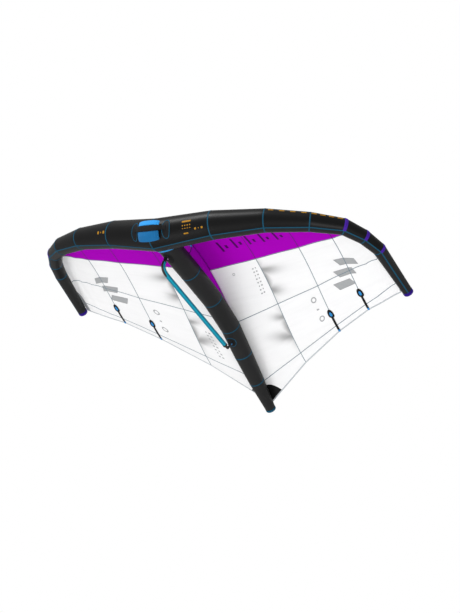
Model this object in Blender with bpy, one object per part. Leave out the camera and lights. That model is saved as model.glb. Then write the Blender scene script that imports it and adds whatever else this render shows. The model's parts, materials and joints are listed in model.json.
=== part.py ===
"""A wingfoil wing: an inflated leading edge and strut, a sewn canopy, a padded front handle and a rigid boom.

Metres, +Z up, in the flying attitude: the leading edge faces -Y, the canopy is on top, and the boom hangs
under the strut. The origin is the middle of the boom's grip, where the rider holds the wing. Everything is
modelled in the wing's own frame, whose zero is the middle of the leading edge, under one empty.
"""

import math

import bmesh
import bpy
import numpy as np
from mathutils import Matrix, Vector

# Leading edge tube, from its middle to a tip
HALF_SPAN = 1.404
TIP_SWEEP = 0.997
TIP_RISE = 0.282
LE_ROOT_RADIUS = 0.114
LE_TIP_RADIUS = 0.0345
LE_SPAN_SHARES = (0.0, 0.288, 0.544, 0.738, 0.866, 0.928, 0.964, 1.0)
LE_SWEEP_SHARES = (0.0, 0.025, 0.084, 0.18, 0.302, 0.432, 0.573, 1.0)
LE_RISE_SHARES = (0.0, 0.264, 0.471, 0.647, 0.851, 0.934, 1.0, 1.0)
LE_TAPER_SHARES = (1.0, 0.81, 0.575, 0.4, 0.28, 0.2, 0.145, 0.0)
LE_ATTACH_ANGLES = (110, 108, 105, 100, 90, 75, 60, 45)

# Strut tube, from the leading edge's middle to its tail
STRUT_LENGTH = 1.887
STRUT_ARCH = 0.116
STRUT_ROOT_RADIUS = 0.0785
STRUT_END_RADIUS = 0.038
STRUT_LENGTH_SHARES = (0.0, 0.234, 0.409, 0.568, 0.703, 0.847, 1.0)
STRUT_ARCH_SHARES = (0.1, 0.642, 0.987, 1.0, 0.642, 0.316, 0.0)
STRUT_TAPER_SHARES = (1.0, 0.95, 0.9, 0.86, 0.75, 0.48, 0.0)

# Skins, bladders and the gaps between touching pieces
SIDES = 24
SKIN = 0.0015
BLADDER = 0.0012
CLOTH = 0.003
GAP = 0.0003
ROOT_GAP = 0.0008
BLADDER_FIT = 0.0005
CUT_OVERRUN = 0.01
SMOOTH_ANGLE = math.radians(35)

# Canopy: its trailing edge, its camber and its spanwise seams
TAIL_MARGIN = 0.015
TAIL_CHORD = STRUT_LENGTH - TAIL_MARGIN
TRAIL_SPAN_SHARES = (0.0, 0.296, 0.554, 0.753, 0.82, 0.875, 0.92)
TRAIL_CHORD_SHARES = (1.0, 0.821, 0.689, 0.606, 0.584, 0.564, 0.549)
TRAIL_RISE_SHARES = (0.0, 0.528, 0.78, 0.954, 0.98, 1.0, 1.03)
CROWN = 0.172
CROWN_SHARES = (1.0, 0.7, 0.494, 0.35, 0.29, 0.23, 0.12, 0.0)
CAMBER_POWER = 1.9
FRONT_SEAM_STATIONS = (0, 1, 2, 3, 3.8, 14 / 3, 4.85, 7)
FRONT_SEAM_SHARES = (0.345, 0.371, 0.365, 0.312, 0.22, 0.038, 0.0, 0.0)
MIDDLE_SEAM_STATIONS = (0, 1, 2, 3, 4, 5, 6, 6.3, 7)
MIDDLE_SEAM_SHARES = (0.6, 0.637, 0.65, 0.62, 0.556, 0.455, 0.14, 0.0, 0.0)
BAND_STATIONS = (0, 1, 2, 3, 4, 5, 6, 7)
BAND_WIDTHS = (0.205, 0.105, 0.062, 0.057, 0.068, 0.08, 0.088, 0.09)
NARROWEST_CLOTH = 0.014
BAY_COLUMNS = 3
FRONT_ROW_SHARES = (0.0, 0.2, 0.4, 0.6, 0.8, 1.0)
BACK_ROW_SHARES = (0.0, 0.167, 0.333, 0.5, 0.667, 0.833, 1.0)
WEB_START = 0.33
WEB_THICKNESS = 0.003
WEB_LEAST_HEIGHT = 0.006

# Battens along the two outer chordwise seams
BATTEN_STATIONS = (2, 3)
BATTEN_START_SHARES = (0.856, 0.827)
BATTEN_WIDTH = 0.013
BATTEN_THICKNESS = 0.0025
BATTEN_TAIL = 0.004
PATCH_LENGTH = 0.077
PATCH_WIDTH = 0.05
PATCH_THICKNESS = 0.002
DROP_ROUNDNESS = 2.6
DROP_NOSE_SHARE = 0.7
CLOTH_SEAT = 0.0005

# Front handle
HANDLE_ANGLE = 208
HANDLE_HALF_LENGTH = 0.098
HANDLE_LIFT = 0.034
HANDLE_END_LIFT = 0.009
WEBBING_WIDTH = 0.03
WEBBING_THICKNESS = 0.0025
PAD_HALF_LENGTH = 0.08
PAD_ABOVE = 0.048
PAD_BELOW = 0.074
PAD_EDGE = 0.004
PAD_THICKNESS = 0.011
ANCHOR_DISTANCE = 0.122
ANCHOR_WIDTH = 0.056
ANCHOR_HEIGHT = 0.14
ANCHOR_DROP = 0.012
ANCHOR_THICKNESS = 0.002
ANCHOR_TIP_SHARE = 0.06
ANCHOR_TAB_LENGTH = 0.023

# Boom, its socket at the front and its bracket at the rear
BOOM_RADIUS = 0.016
BOOM_NECK_RADIUS = 0.0125
BOOM_SWELL_RATE = 1.2
BOOM_WALL = 0.002
BOOM_PIVOT_Y = 0.158
BOOM_BEND_Y = 0.29
BOOM_BEND_Z = -0.137
BOOM_REAR_Y = 1.098
BOOM_REAR_Z = -0.038
BOOM_NECK = 0.028
BEND_REACH = 0.055
SPIGOT = 0.025
FRONT_SPIGOT = 0.015
SOCKET_LENGTH = 0.036
SOCKET_WIDTH = 0.027
SOCKET_BASE = 0.006
SOCKET_EAR = 0.005
PIVOT_DROP = 0.018
PIN_RADIUS = 0.004
PIN_HEAD_RADIUS = 0.0065
PIN_HEAD = 0.0025
EAR_BEYOND_PIN = 0.009
BOSS_RADIUS = 0.011
NECK_RADIUS = 0.0075
NECK_FLARE_SHARE = 0.55
BOOM_PAD_THICKNESS = 0.002
FRONT_PAD_LENGTH = 0.11
FRONT_PAD_WIDTH = 0.07
FRONT_PAD_SHIFT = 0.022
PAD_END_SHARE = 0.1
REAR_PAD_LENGTH = 0.084
REAR_PAD_WIDTH = 0.08
BRACKET_Y = 1.157
BRACKET_LENGTH = 0.034
BRACKET_WIDTH = 0.023
HOOK_RADIUS = 0.0105
TONGUE_HALF = 0.005
HOOK_REACH = 0.045
LATCH_RADIUS = 0.0035
LATCH_HEAD_RADIUS = 0.007
LATCH_HEAD = 0.004
GUARD_THICKNESS = 0.004
GUARD_ROWS = 7

# Inflation valve behind the leading edge
VALVE_X = 0.18
VALVE_SEAT = 0.0012
VALVE_BORE = 0.009
VALVE_NECK = 0.0125
VALVE_NECK_DEPTH = 0.012
VALVE_FLANGE_RADIUS = 0.021
VALVE_FLANGE = 0.0025
VALVE_BODY_RADIUS = 0.0155
VALVE_BODY_HEIGHT = 0.009
LOCK_RADIUS = 0.0145
LOCK_BORE = 0.0062
LOCK_SKIRT_DEPTH = 0.006
LOCK_HEIGHT = 0.006
LOCK_LUG = 0.004
LOCK_LUG_WIDTH = 0.007
CAP_RADIUS = 0.0135
CAP_HEIGHT = 0.0032
CAP_PLUG_RADIUS = 0.0054
CAP_PLUG_DEPTH = 0.003
ROOTED_SHARE = 0.85
CAP_HINGE_OFFSET = 0.0175
CAP_HINGE_RADIUS = 0.0018
CAP_HINGE_WIDTH = 0.008

# Inflation hose between the two bladders
HOSE_X = 0.14
HOSE_LEAVE_ANGLE = 42
HOSE_ENTRY_Y = 0.25
HOSE_ENTRY_ANGLE = 22.5
HOSE_RADIUS = 0.007
HOSE_BORE = 0.005
HOSE_DEPTH = 0.012
HOSE_REACH = 0.06

# End caps
CAP_SPIGOT = 0.016
CAP_RIM = 0.006
CAP_DOME = 0.006
CAP_FACE_SHARE = 0.7
COLLAR_WIDTH = 0.014
COLLAR_THICKNESS = 0.003

GRIP_Y = (BOOM_BEND_Y + BOOM_REAR_Y) / 2
GRIP_Z = (BOOM_BEND_Z + BOOM_REAR_Z) / 2
FULL_TURN = 2 * math.pi


def unit(vectors):
    """Vectors scaled to length one."""
    return vectors / np.linalg.norm(vectors, axis=-1, keepdims=True)


def stations_of(centres):
    """Tangents at the stations of a centre line: each bisects the two runs that meet there."""
    runs = unit(np.diff(centres, axis=0))
    return unit(np.vstack([runs[:1], runs[:-1] + runs[1:], runs[-1:]]))


# Centre lines, frames and radii of the two tubes
LE_CENTRES = np.column_stack(
    [
        np.array(LE_SPAN_SHARES) * HALF_SPAN,
        np.array(LE_SWEEP_SHARES) * TIP_SWEEP,
        np.array(LE_RISE_SHARES) * TIP_RISE,
    ]
)
LE_TANGENTS = stations_of(LE_CENTRES)
LE_TANGENTS[0] = (1, 0, 0)
LE_AFT = unit(np.cross((0, 0, 1), LE_TANGENTS))
LE_UP = np.cross(LE_TANGENTS, LE_AFT)
LE_RADII = LE_TIP_RADIUS + np.array(LE_TAPER_SHARES) * (LE_ROOT_RADIUS - LE_TIP_RADIUS)
LE_ANGLES = np.radians(LE_ATTACH_ANGLES)

STRUT_CENTRES = np.column_stack(
    [
        np.zeros(len(STRUT_LENGTH_SHARES)),
        np.array(STRUT_LENGTH_SHARES) * STRUT_LENGTH,
        np.array(STRUT_ARCH_SHARES) * STRUT_ARCH,
    ]
)
STRUT_TANGENTS = stations_of(STRUT_CENTRES)
STRUT_UP = np.cross((1, 0, 0), STRUT_TANGENTS)
STRUT_RADII = STRUT_END_RADIUS + np.array(STRUT_TAPER_SHARES) * (STRUT_ROOT_RADIUS - STRUT_END_RADIUS)


def between(corner, station, turn, last):
    """A point of a faceted tube, from the corner points of its rings, at any station and any part of a turn."""
    k = np.clip(np.floor(station).astype(int), 0, last - 1)
    j = np.floor(turn).astype(int)
    t = (station - k)[..., None]
    w = (turn - j)[..., None]
    near = (1 - w) * corner(k, j) + w * corner(k, j + 1)
    far = (1 - w) * corner(k + 1, j) + w * corner(k + 1, j + 1)
    return (1 - t) * near + t * far


def le_corner(lift):
    """Corner points of the leading edge's rings, lift outside its skin; corner 0 is where the canopy is sewn."""

    def corner(k, j):
        angle = (LE_ANGLES[k] + FULL_TURN * j / SIDES)[..., None]
        radius = (LE_RADII[k] + lift)[..., None]
        return LE_CENTRES[k] + radius * (np.cos(angle) * LE_AFT[k] + np.sin(angle) * LE_UP[k])

    return corner


def le_surface(station, turn, lift, side=1):
    """Points on the leading edge's faceted skin, or lift outside it."""
    station, turn = np.broadcast_arrays(np.asarray(station, float), np.asarray(turn, float))
    return between(le_corner(lift), station, turn, len(LE_RADII) - 1) * (side, 1, 1)


def le_turn(station, degrees):
    """The part of a turn, in facets from the canopy seam, that lies at an angle from straight aft."""
    seam = np.interp(station, range(len(LE_ANGLES)), LE_ANGLES)
    return ((np.radians(degrees) - seam) % FULL_TURN) * SIDES / FULL_TURN


def le_station(x):
    """The station where the leading edge's middle line passes x."""
    return np.interp(x, LE_CENTRES[:, 0], range(len(LE_RADII)))


def strut_corner(lift):
    """Corner points of the strut's rings; corner 0 is on top."""

    def corner(k, j):
        angle = (FULL_TURN * j / SIDES + np.zeros(np.shape(k)))[..., None]
        radius = (STRUT_RADII[k] + lift)[..., None]
        return STRUT_CENTRES[k] + radius * (np.cos(angle) * STRUT_UP[k] + np.sin(angle) * np.array((1, 0, 0)))

    return corner


def strut_surface(station, turn, lift):
    """Points on the strut's faceted skin, or lift outside it."""
    station, turn = np.broadcast_arrays(np.asarray(station, float), np.asarray(turn, float))
    return between(strut_corner(lift), station, turn, len(STRUT_RADII) - 1)


def strut_station(y):
    """The station where the strut's middle line passes y."""
    return np.interp(y, STRUT_CENTRES[:, 1], range(len(STRUT_RADII)))


STRUT_TOPS = strut_surface(np.arange(len(STRUT_RADII)), 0, 0)


def strut_top(y):
    """Height of the strut's top line."""
    return np.interp(y, STRUT_TOPS[:, 1], STRUT_TOPS[:, 2])


# The canopy's front line lies on the leading edge's seam and its back line is the trailing edge
ATTACH = le_surface(np.arange(len(LE_RADII)), 0, GAP)
TRAIL = np.column_stack(
    [
        np.array(TRAIL_SPAN_SHARES) * HALF_SPAN,
        np.array(TRAIL_CHORD_SHARES) * TAIL_CHORD,
        np.array(TRAIL_RISE_SHARES) * TIP_RISE,
    ]
)
TRAIL[0, 2] = strut_top(TAIL_CHORD) + GAP
TRAIL = np.vstack([TRAIL, ATTACH[-1:]])
CAMBER_PEAK = CAMBER_POWER**CAMBER_POWER / (1 + CAMBER_POWER) ** (1 + CAMBER_POWER)


def camber(chord_share):
    """Camber along the chord, 1 at its highest: u (1 - u) to a power."""
    return chord_share * (1 - chord_share) ** CAMBER_POWER / CAMBER_PEAK


def rise_at_station(k, chord_share):
    """Canopy height over its flat line at one station; in the middle the strut's top carries it."""
    rise = CROWN * CROWN_SHARES[k] * camber(chord_share)
    if k > 0:
        return rise
    line = ATTACH[0] + (TRAIL[0] - ATTACH[0]) * chord_share[..., None]
    return np.maximum(rise, strut_top(line[..., 1]) + GAP - line[..., 2])


def canopy(station, chord_share):
    """A point of the canopy's underside: ruled between its two edges, with camber blended between stations."""
    station, chord_share = np.broadcast_arrays(np.asarray(station, float), np.asarray(chord_share, float))
    last = len(LE_RADII) - 1
    k = np.clip(np.floor(station).astype(int), 0, last - 1)
    t = station - k
    front = ATTACH[k] * (1 - t)[..., None] + ATTACH[k + 1] * t[..., None]
    back = TRAIL[k] * (1 - t)[..., None] + TRAIL[k + 1] * t[..., None]
    points = front + (back - front) * chord_share[..., None]
    rises = np.array([rise_at_station(i, chord_share) for i in range(last + 1)])

    def at(i):
        return np.take_along_axis(rises, np.clip(i, 0, last)[None], axis=0)[0]

    before, near, far, after = at(k - 1), at(k), at(k + 1), at(k + 2)
    slope_near = np.where(k == 0, far - near, (far - before) / 2)
    slope_far = np.where(k == last - 1, far - near, (after - near) / 2)
    bend = 3 * (far - near) - 2 * slope_near - slope_far
    twist = slope_near + slope_far - 2 * (far - near)
    points[..., 2] += near + slope_near * t + bend * t**2 + twist * t**3
    return points


STEP = 1e-4


def canopy_normal(station, chord_share):
    """The canopy's upward normal."""
    across = canopy(np.minimum(station + STEP, len(LE_RADII) - 1), chord_share) - canopy(
        np.maximum(station - STEP, 0), chord_share
    )
    along = canopy(station, np.minimum(chord_share + STEP, 1)) - canopy(
        station, np.maximum(chord_share - STEP, 0)
    )
    return unit(np.cross(across, along))


def chord(station):
    """Straight length of the canopy from front to back at a station."""
    return np.linalg.norm(canopy(station, 1.0) - canopy(station, 0.0), axis=-1)


def front_seam(station):
    return np.interp(station, FRONT_SEAM_STATIONS, FRONT_SEAM_SHARES)


def middle_seam(station):
    return np.interp(station, MIDDLE_SEAM_STATIONS, MIDDLE_SEAM_SHARES)


def band_seam(station):
    width = np.interp(station, BAND_STATIONS, BAND_WIDTHS)
    return np.maximum(1 - width / chord(station), 0)


# Materials, with the colours of the real cloths and fittings
def material(name, colour, roughness, metallic=0.0):
    made = bpy.data.materials.new(name)
    made.use_nodes = True
    shader = made.node_tree.nodes["Principled BSDF"]
    shader.inputs["Base Color"].default_value = (*colour, 1)
    shader.inputs["Roughness"].default_value = roughness
    shader.inputs["Metallic"].default_value = metallic
    made.diffuse_color = (*colour, 1)
    return made


for old in list(bpy.data.objects):
    bpy.data.objects.remove(old, do_unlink=True)

BLACK_SAILCLOTH = material("black_sailcloth", (0.026, 0.026, 0.028), 0.62)
SEAM_BLUE = material("seam_blue", (0.03, 0.2, 0.42), 0.5)
MAGENTA_CLOTH = material("magenta_cloth", (0.42, 0.001, 0.5), 0.5)
WHITE_CLOTH = material("white_cloth", (0.88, 0.88, 0.9), 0.5)
PURPLE_CLOTH = material("purple_cloth", (0.2, 0.001, 0.26), 0.55)
INDIGO_CLOTH = material("indigo_cloth", (0.05, 0.01, 0.25), 0.5)
CLEAR_FILM = material("clear_film", (0.75, 0.78, 0.8), 0.3)
BLACK_RUBBER = material("black_rubber", (0.015, 0.015, 0.016), 0.7)
BLACK_PLASTIC = material("black_plastic", (0.02, 0.02, 0.022), 0.4)
WEBBING = material("webbing", (0.02, 0.02, 0.022), 0.8)
BLUE_FOAM = material("blue_foam", (0.03, 0.36, 0.72), 0.7)
TEAL_BOOM = material("teal_boom", (0.005, 0.28, 0.42), 0.35)
STEEL = material("steel", (0.55, 0.55, 0.57), 0.3, 1.0)

WING = bpy.data.objects.new("wing_middle", None)
WING.location = (0, -GRIP_Y, -GRIP_Z)
bpy.context.scene.collection.objects.link(WING)


def add(name, mesh, finish, matrix=None, parent=WING):
    """An object of the wing, at its place in the wing's frame."""
    mesh.materials.append(finish)
    mesh.shade_smooth()
    mesh.set_sharp_from_angle(angle=SMOOTH_ANGLE)
    made = bpy.data.objects.new(name, mesh)
    bpy.context.scene.collection.objects.link(made)
    made.parent = parent
    if matrix is not None:
        made.matrix_local = matrix
    return made


def outward(work):
    """Turns a closed mesh inside out if its volume is negative."""
    if work.calc_volume(signed=True) < 0:
        bmesh.ops.reverse_faces(work, faces=work.faces)


def mesh_of(work, name):
    mesh = bpy.data.meshes.new(name)
    work.to_mesh(mesh)
    work.free()
    return mesh


def quads(work, grid, wrap=False):
    """Faces of a grid of points; with wrap its columns close into rings."""
    rows, columns = len(grid), len(grid[0])
    for i in range(rows - 1):
        for j in range(columns if wrap else columns - 1):
            k = (j + 1) % columns
            work.faces.new((grid[i][j], grid[i][k], grid[i + 1][k], grid[i + 1][j]))


def points_of(work, grid):
    return [[work.verts.new(point) for point in row] for row in grid]


def shell(name, low, high, finish, wrap=False, **place):
    """One closed solid between two like grids of points: a sheet, or with wrap an open tube with a wall."""
    work = bmesh.new()
    under = points_of(work, low)
    over = points_of(work, high)
    quads(work, under, wrap)
    quads(work, over, wrap)
    quads(work, [under[0], over[0]], wrap)
    quads(work, [under[-1], over[-1]], wrap)
    if not wrap:
        quads(work, [[row[0] for row in under], [row[0] for row in over]])
        quads(work, [[row[-1] for row in under], [row[-1] for row in over]])
    bmesh.ops.recalc_face_normals(work, faces=work.faces)
    outward(work)
    return add(name, mesh_of(work, name), finish, **place)


def skin_of(work, grid, inwards=False):
    """A tube closed at both ends, with its faces out, or in for the inner face of a bladder."""
    first = len(work.faces)
    rings = points_of(work, grid)
    quads(work, rings, wrap=True)
    work.faces.new(rings[0])
    work.faces.new(rings[-1])
    work.faces.ensure_lookup_table()
    made = [work.faces[i] for i in range(first, len(work.faces))]
    bmesh.ops.recalc_face_normals(work, faces=made)
    part = bmesh.new()
    copied = points_of(part, grid)
    quads(part, copied, wrap=True)
    part.faces.new(copied[0])
    part.faces.new(copied[-1])
    bmesh.ops.recalc_face_normals(part, faces=part.faces)
    turned_in = part.calc_volume(signed=True) < 0
    part.free()
    if turned_in != inwards:
        bmesh.ops.reverse_faces(work, faces=made)


def closed_tube(name, outer, finish, inner=None, **place):
    work = bmesh.new()
    skin_of(work, outer)
    if inner is not None:
        skin_of(work, inner, inwards=True)
    return add(name, mesh_of(work, name), finish, **place)


def turned(name, profile, finish, ring=False, segments=20, **place):
    """A turned piece: a profile of (radius, height) points spun about Z; a ring's profile is a closed loop."""
    work = bmesh.new()
    line = [work.verts.new((radius, 0, height)) for radius, height in profile]
    edges = [work.edges.new(pair) for pair in zip(line, line[1:])]
    if ring:
        edges.append(work.edges.new((line[-1], line[0])))
    bmesh.ops.spin(
        work,
        geom=line + edges,
        cent=(0, 0, 0),
        axis=(0, 0, 1),
        angle=FULL_TURN,
        steps=segments,
        use_merge=True,
        use_duplicate=False,
    )
    bmesh.ops.remove_doubles(work, verts=work.verts, dist=1e-6)
    bmesh.ops.recalc_face_normals(work, faces=work.faces)
    outward(work)
    return add(name, mesh_of(work, name), finish, **place)


def block(name, low, high, finish, **place):
    """A box between two corners of its own frame."""
    work = bmesh.new()
    bmesh.ops.create_cube(work, size=1)
    size = [b - a for a, b in zip(low, high)]
    middle = [(a + b) / 2 for a, b in zip(low, high)]
    bmesh.ops.scale(work, vec=size, verts=work.verts)
    bmesh.ops.translate(work, vec=middle, verts=work.verts)
    return add(name, mesh_of(work, name), finish, **place)


def helper(tool):
    """Hides a cutter or an added lump, which isn't a piece of the wing by itself."""
    tool.hide_render = True
    tool.display_type = "WIRE"
    return tool


def boolean(piece, tool, operation):
    change = piece.modifiers.new(tool.name, "BOOLEAN")
    change.operation = operation
    change.solver = "EXACT"
    change.object = helper(tool)


def cut(piece, tool):
    boolean(piece, tool, "DIFFERENCE")


def join(piece, tool):
    boolean(piece, tool, "UNION")


def frame(origin, across, along):
    """A matrix at origin whose X is across and whose Y is along."""
    across, along = Vector(across).normalized(), Vector(along).normalized()
    up = across.cross(along)
    turn = Matrix((across, along, up)).transposed().to_4x4()
    return Matrix.Translation(Vector(origin)) @ turn


def bezier(start, first, second, end, shares):
    """Points of a cubic curve at shares of its way."""
    t = np.asarray(shares)[:, None]
    ends = (1 - t) ** 3 * np.array(start) + t**3 * np.array(end)
    return ends + 3 * (1 - t) ** 2 * t * np.array(first) + 3 * (1 - t) * t**2 * np.array(second)


def rings(centres, radii, across=(1, 0, 0), sides=12, squash=None):
    """Rings of points square to a path; squash narrows each ring across the path's plane."""
    centres = np.asarray(centres, float)
    tangents = stations_of(centres)
    up = unit(np.cross(across, tangents))
    wide = np.cross(tangents, up)
    angles = np.arange(sides) * FULL_TURN / sides
    radii = np.broadcast_to(radii, len(centres))
    across_radii = radii if squash is None else np.minimum(radii, squash)
    return (
        centres[:, None]
        + radii[:, None, None] * np.cos(angles)[None, :, None] * up[:, None]
        + across_radii[:, None, None] * np.sin(angles)[None, :, None] * wide[:, None]
    )


TURN = np.arange(SIDES)


# Leading edge: seven sewn panels a side round one bladder, with a cap in each tip
def le_panels():
    lengths = np.linalg.norm(np.diff(LE_CENTRES, axis=0), axis=1)
    panels = {}
    for side, word in ((1, "right"), (-1, "left")):
        for k, length in enumerate(lengths):
            ends = np.array([k + GAP / 2 / length, k + 1 - GAP / 2 / length])[:, None]
            name = f"leading_edge_panel_{word}_{k + 1}"
            panels[name] = shell(
                name,
                le_surface(ends, TURN, -SKIN, side),
                le_surface(ends, TURN, 0, side),
                BLACK_SAILCLOTH,
                wrap=True,
            )
    return panels


def le_bladder():
    last = len(LE_RADII) - 1
    tip_length = np.linalg.norm(LE_CENTRES[last] - LE_CENTRES[last - 1])
    tip = last - (CAP_SPIGOT + BLADDER_FIT + 2 * BLADDER) / tip_length
    right = np.append(np.arange(last), tip)
    walls = []
    for inset in (0, BLADDER):
        lift = -(SKIN + BLADDER_FIT + inset)
        ends = right - np.where(right == tip, inset / tip_length, 0)
        side = le_surface(ends[:, None], TURN, lift)
        walls.append(np.vstack([side[:0:-1] * (-1, 1, 1), side]))
    return closed_tube("leading_edge_bladder", walls[0], CLEAR_FILM, inner=walls[1])


def tip_caps():
    last = len(LE_RADII) - 1
    axis = LE_TANGENTS[last]
    inner = LE_TIP_RADIUS - SKIN - GAP
    steps = ((-CAP_SPIGOT, inner), (GAP, inner), (GAP, LE_TIP_RADIUS), (CAP_RIM, LE_TIP_RADIUS))
    steps += ((CAP_RIM + CAP_DOME, LE_TIP_RADIUS * CAP_FACE_SHARE),)
    for side, word in ((1, "right"), (-1, "left")):
        grid = []
        for out, radius in steps:
            ring = le_surface(last, TURN, radius - LE_TIP_RADIUS) + out * axis
            grid.append(ring * (side, 1, 1))
        closed_tube(f"tip_cap_{word}", np.array(grid), INDIGO_CLOTH)


# Strut: six sewn panels round one bladder, fish-mouthed onto the leading edge
def reaches_le(points):
    """Distance of points from the leading edge's skin near its middle, minus the root gap."""
    run = LE_CENTRES[1]
    mirrored = np.abs(points) * (1, 0, 0) + points * (0, 1, 1)
    share = np.clip(mirrored @ run / (run @ run), 0, 1)
    away = np.linalg.norm(mirrored - share[:, None] * run, axis=1)
    radius = LE_RADII[0] + (LE_RADII[1] - LE_RADII[0]) * share
    return away - radius - ROOT_GAP


def strut_root(lift):
    """Station along the strut's first run where each corner line meets the leading edge, found by halving."""
    low, high = np.zeros(SIDES), np.ones(SIDES)
    for _ in range(30):
        middle = (low + high) / 2
        outside = reaches_le(strut_surface(middle, TURN, lift)) > 0
        low, high = np.where(outside, low, middle), np.where(outside, middle, high)
    return high


def strut_panels():
    lengths = np.linalg.norm(np.diff(STRUT_CENTRES, axis=0), axis=1)
    panels = {}
    for k, length in enumerate(lengths):
        end = np.full(SIDES, k + 1 - GAP / 2 / length)
        walls = []
        for lift in (-SKIN, 0):
            start = strut_root(lift) if k == 0 else np.full(SIDES, k + GAP / 2 / length)
            walls.append(strut_surface(np.array([start, end]), TURN, lift))
        name = f"strut_panel_{k + 1}"
        panels[name] = shell(name, *walls, BLACK_SAILCLOTH, wrap=True)
    return panels


def strut_collar():
    run = np.linalg.norm(STRUT_CENTRES[1] - STRUT_CENTRES[0])
    walls = []
    for lift in (GAP, GAP + COLLAR_THICKNESS):
        start = strut_root(lift)
        walls.append(strut_surface(np.array([start, strut_root(GAP) + COLLAR_WIDTH / run]), TURN, lift))
    return shell("strut_collar", *walls, SEAM_BLUE, wrap=True)


def strut_bladder():
    last = len(STRUT_RADII) - 1
    first_run = np.linalg.norm(STRUT_CENTRES[1] - STRUT_CENTRES[0])
    last_run = np.linalg.norm(STRUT_CENTRES[last] - STRUT_CENTRES[last - 1])
    start = strut_root(0).max() + CUT_OVERRUN / first_run
    end = last - (CAP_SPIGOT + BLADDER_FIT + 2 * BLADDER) / last_run
    walls = []
    for inset in (0, BLADDER):
        stations = np.concatenate([[start + inset / first_run], np.arange(1, last), [end - inset / last_run]])
        walls.append(strut_surface(stations[:, None], TURN, -(SKIN + BLADDER_FIT + inset)))
    return closed_tube("strut_bladder", walls[0], CLEAR_FILM, inner=walls[1])


def strut_end_cap():
    last = len(STRUT_RADII) - 1
    axis = STRUT_TANGENTS[last]
    inner = STRUT_END_RADIUS - SKIN - GAP
    steps = ((-CAP_SPIGOT, inner), (GAP, inner), (GAP, STRUT_END_RADIUS), (CAP_RIM, STRUT_END_RADIUS))
    steps += ((CAP_RIM + CAP_DOME, STRUT_END_RADIUS * CAP_FACE_SHARE),)
    grid = [strut_surface(last, TURN, radius - STRUT_END_RADIUS) + out * axis for out, radius in steps]
    closed_tube("strut_end_cap", np.array(grid), INDIGO_CLOTH)


# Canopy: four sewn cloths a side, from the leading edge back to the trailing band
def strut_chord_shares():
    """The strut's stations as shares of the canopy's middle line."""
    return (STRUT_TOPS[1:-1, 1] - ATTACH[0, 1]) / (TRAIL[0, 1] - ATTACH[0, 1])


def rows_between(shares, low, high):
    """Row shares of a cloth, with the nearest inner row moved to each strut station, where the strut bends."""
    rows = np.array(shares, float)
    for place in (strut_chord_shares() - low) / (high - low):
        if rows[0] < place < rows[-1]:
            rows[1 + np.argmin(np.abs(rows[1:-1] - place))] = place
    return rows


def columns_to(end, extra=()):
    """Stations of a cloth's columns, from the middle of the wing to end."""
    start = GAP / 2 / LE_CENTRES[1, 0]
    inner = np.arange(1, math.ceil(end * BAY_COLUMNS)) / BAY_COLUMNS
    return np.unique(np.concatenate([[start], inner[inner < end], extra, [end]]))


def cloth(name, side, columns, rows, low, high, finish):
    half_seam = GAP / 2 / chord(columns)
    first = low(columns) + np.where(low(columns) > 0, half_seam, 0)
    last = high(columns) - np.where(high(columns) < 1, half_seam, 0)
    chord_shares = first + (last - first) * rows[:, None]
    stations = np.broadcast_to(columns, chord_shares.shape)
    under = canopy(stations, chord_shares)
    lift = CLOTH * canopy_normal(stations, chord_shares)
    # The two sides meet edge to edge over the strut
    lift[:, 0, 0] = 0
    mirror = np.array((side, 1, 1))
    return shell(name, under * mirror, (under + lift) * mirror, finish)


def cloth_end(width):
    """The outermost station at which the chord still exceeds a width; the chord shrinks evenly to the tip."""
    last = len(LE_RADII) - 1
    return last - width / chord(np.array(last - 1.0))


def leading_edge_line(station):
    return np.zeros(np.shape(station))


def trailing_line(station):
    return np.ones(np.shape(station))


def front_rows():
    return rows_between(FRONT_ROW_SHARES, 0, FRONT_SEAM_SHARES[0])


def middle_rows():
    return rows_between(BACK_ROW_SHARES, FRONT_SEAM_SHARES[0], MIDDLE_SEAM_SHARES[0])


def canopy_cloths():
    band_start = float(band_seam(np.array(0.0)))
    rear_rows = rows_between(BACK_ROW_SHARES, MIDDLE_SEAM_SHARES[0], band_start)
    band_rows = rows_between((0, 0.5, 1), band_start, 1)
    rear_end = cloth_end(BAND_WIDTHS[-1] + NARROWEST_CLOTH)
    middle_end = MIDDLE_SEAM_STATIONS[-2] - NARROWEST_CLOTH
    front_end = FRONT_SEAM_STATIONS[-3]
    front_corner = FRONT_SEAM_STATIONS[-2]
    middle_corner = MIDDLE_SEAM_STATIONS[-2]
    for side, word in ((1, "right"), (-1, "left")):
        cloth(
            f"canopy_front_{word}", side, columns_to(front_end), front_rows(), leading_edge_line, front_seam,
            MAGENTA_CLOTH,
        )
        cloth(
            f"canopy_middle_{word}", side, columns_to(middle_end, [front_corner]), middle_rows(), front_seam,
            middle_seam, WHITE_CLOTH,
        )
        cloth(
            f"canopy_rear_{word}", side, columns_to(rear_end, [middle_corner]), rear_rows, middle_seam,
            band_seam, WHITE_CLOTH,
        )
        cloth(
            f"trailing_band_{word}", side, columns_to(cloth_end(NARROWEST_CLOTH), [rear_end]), band_rows,
            band_seam, trailing_line, WHITE_CLOTH,
        )


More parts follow.
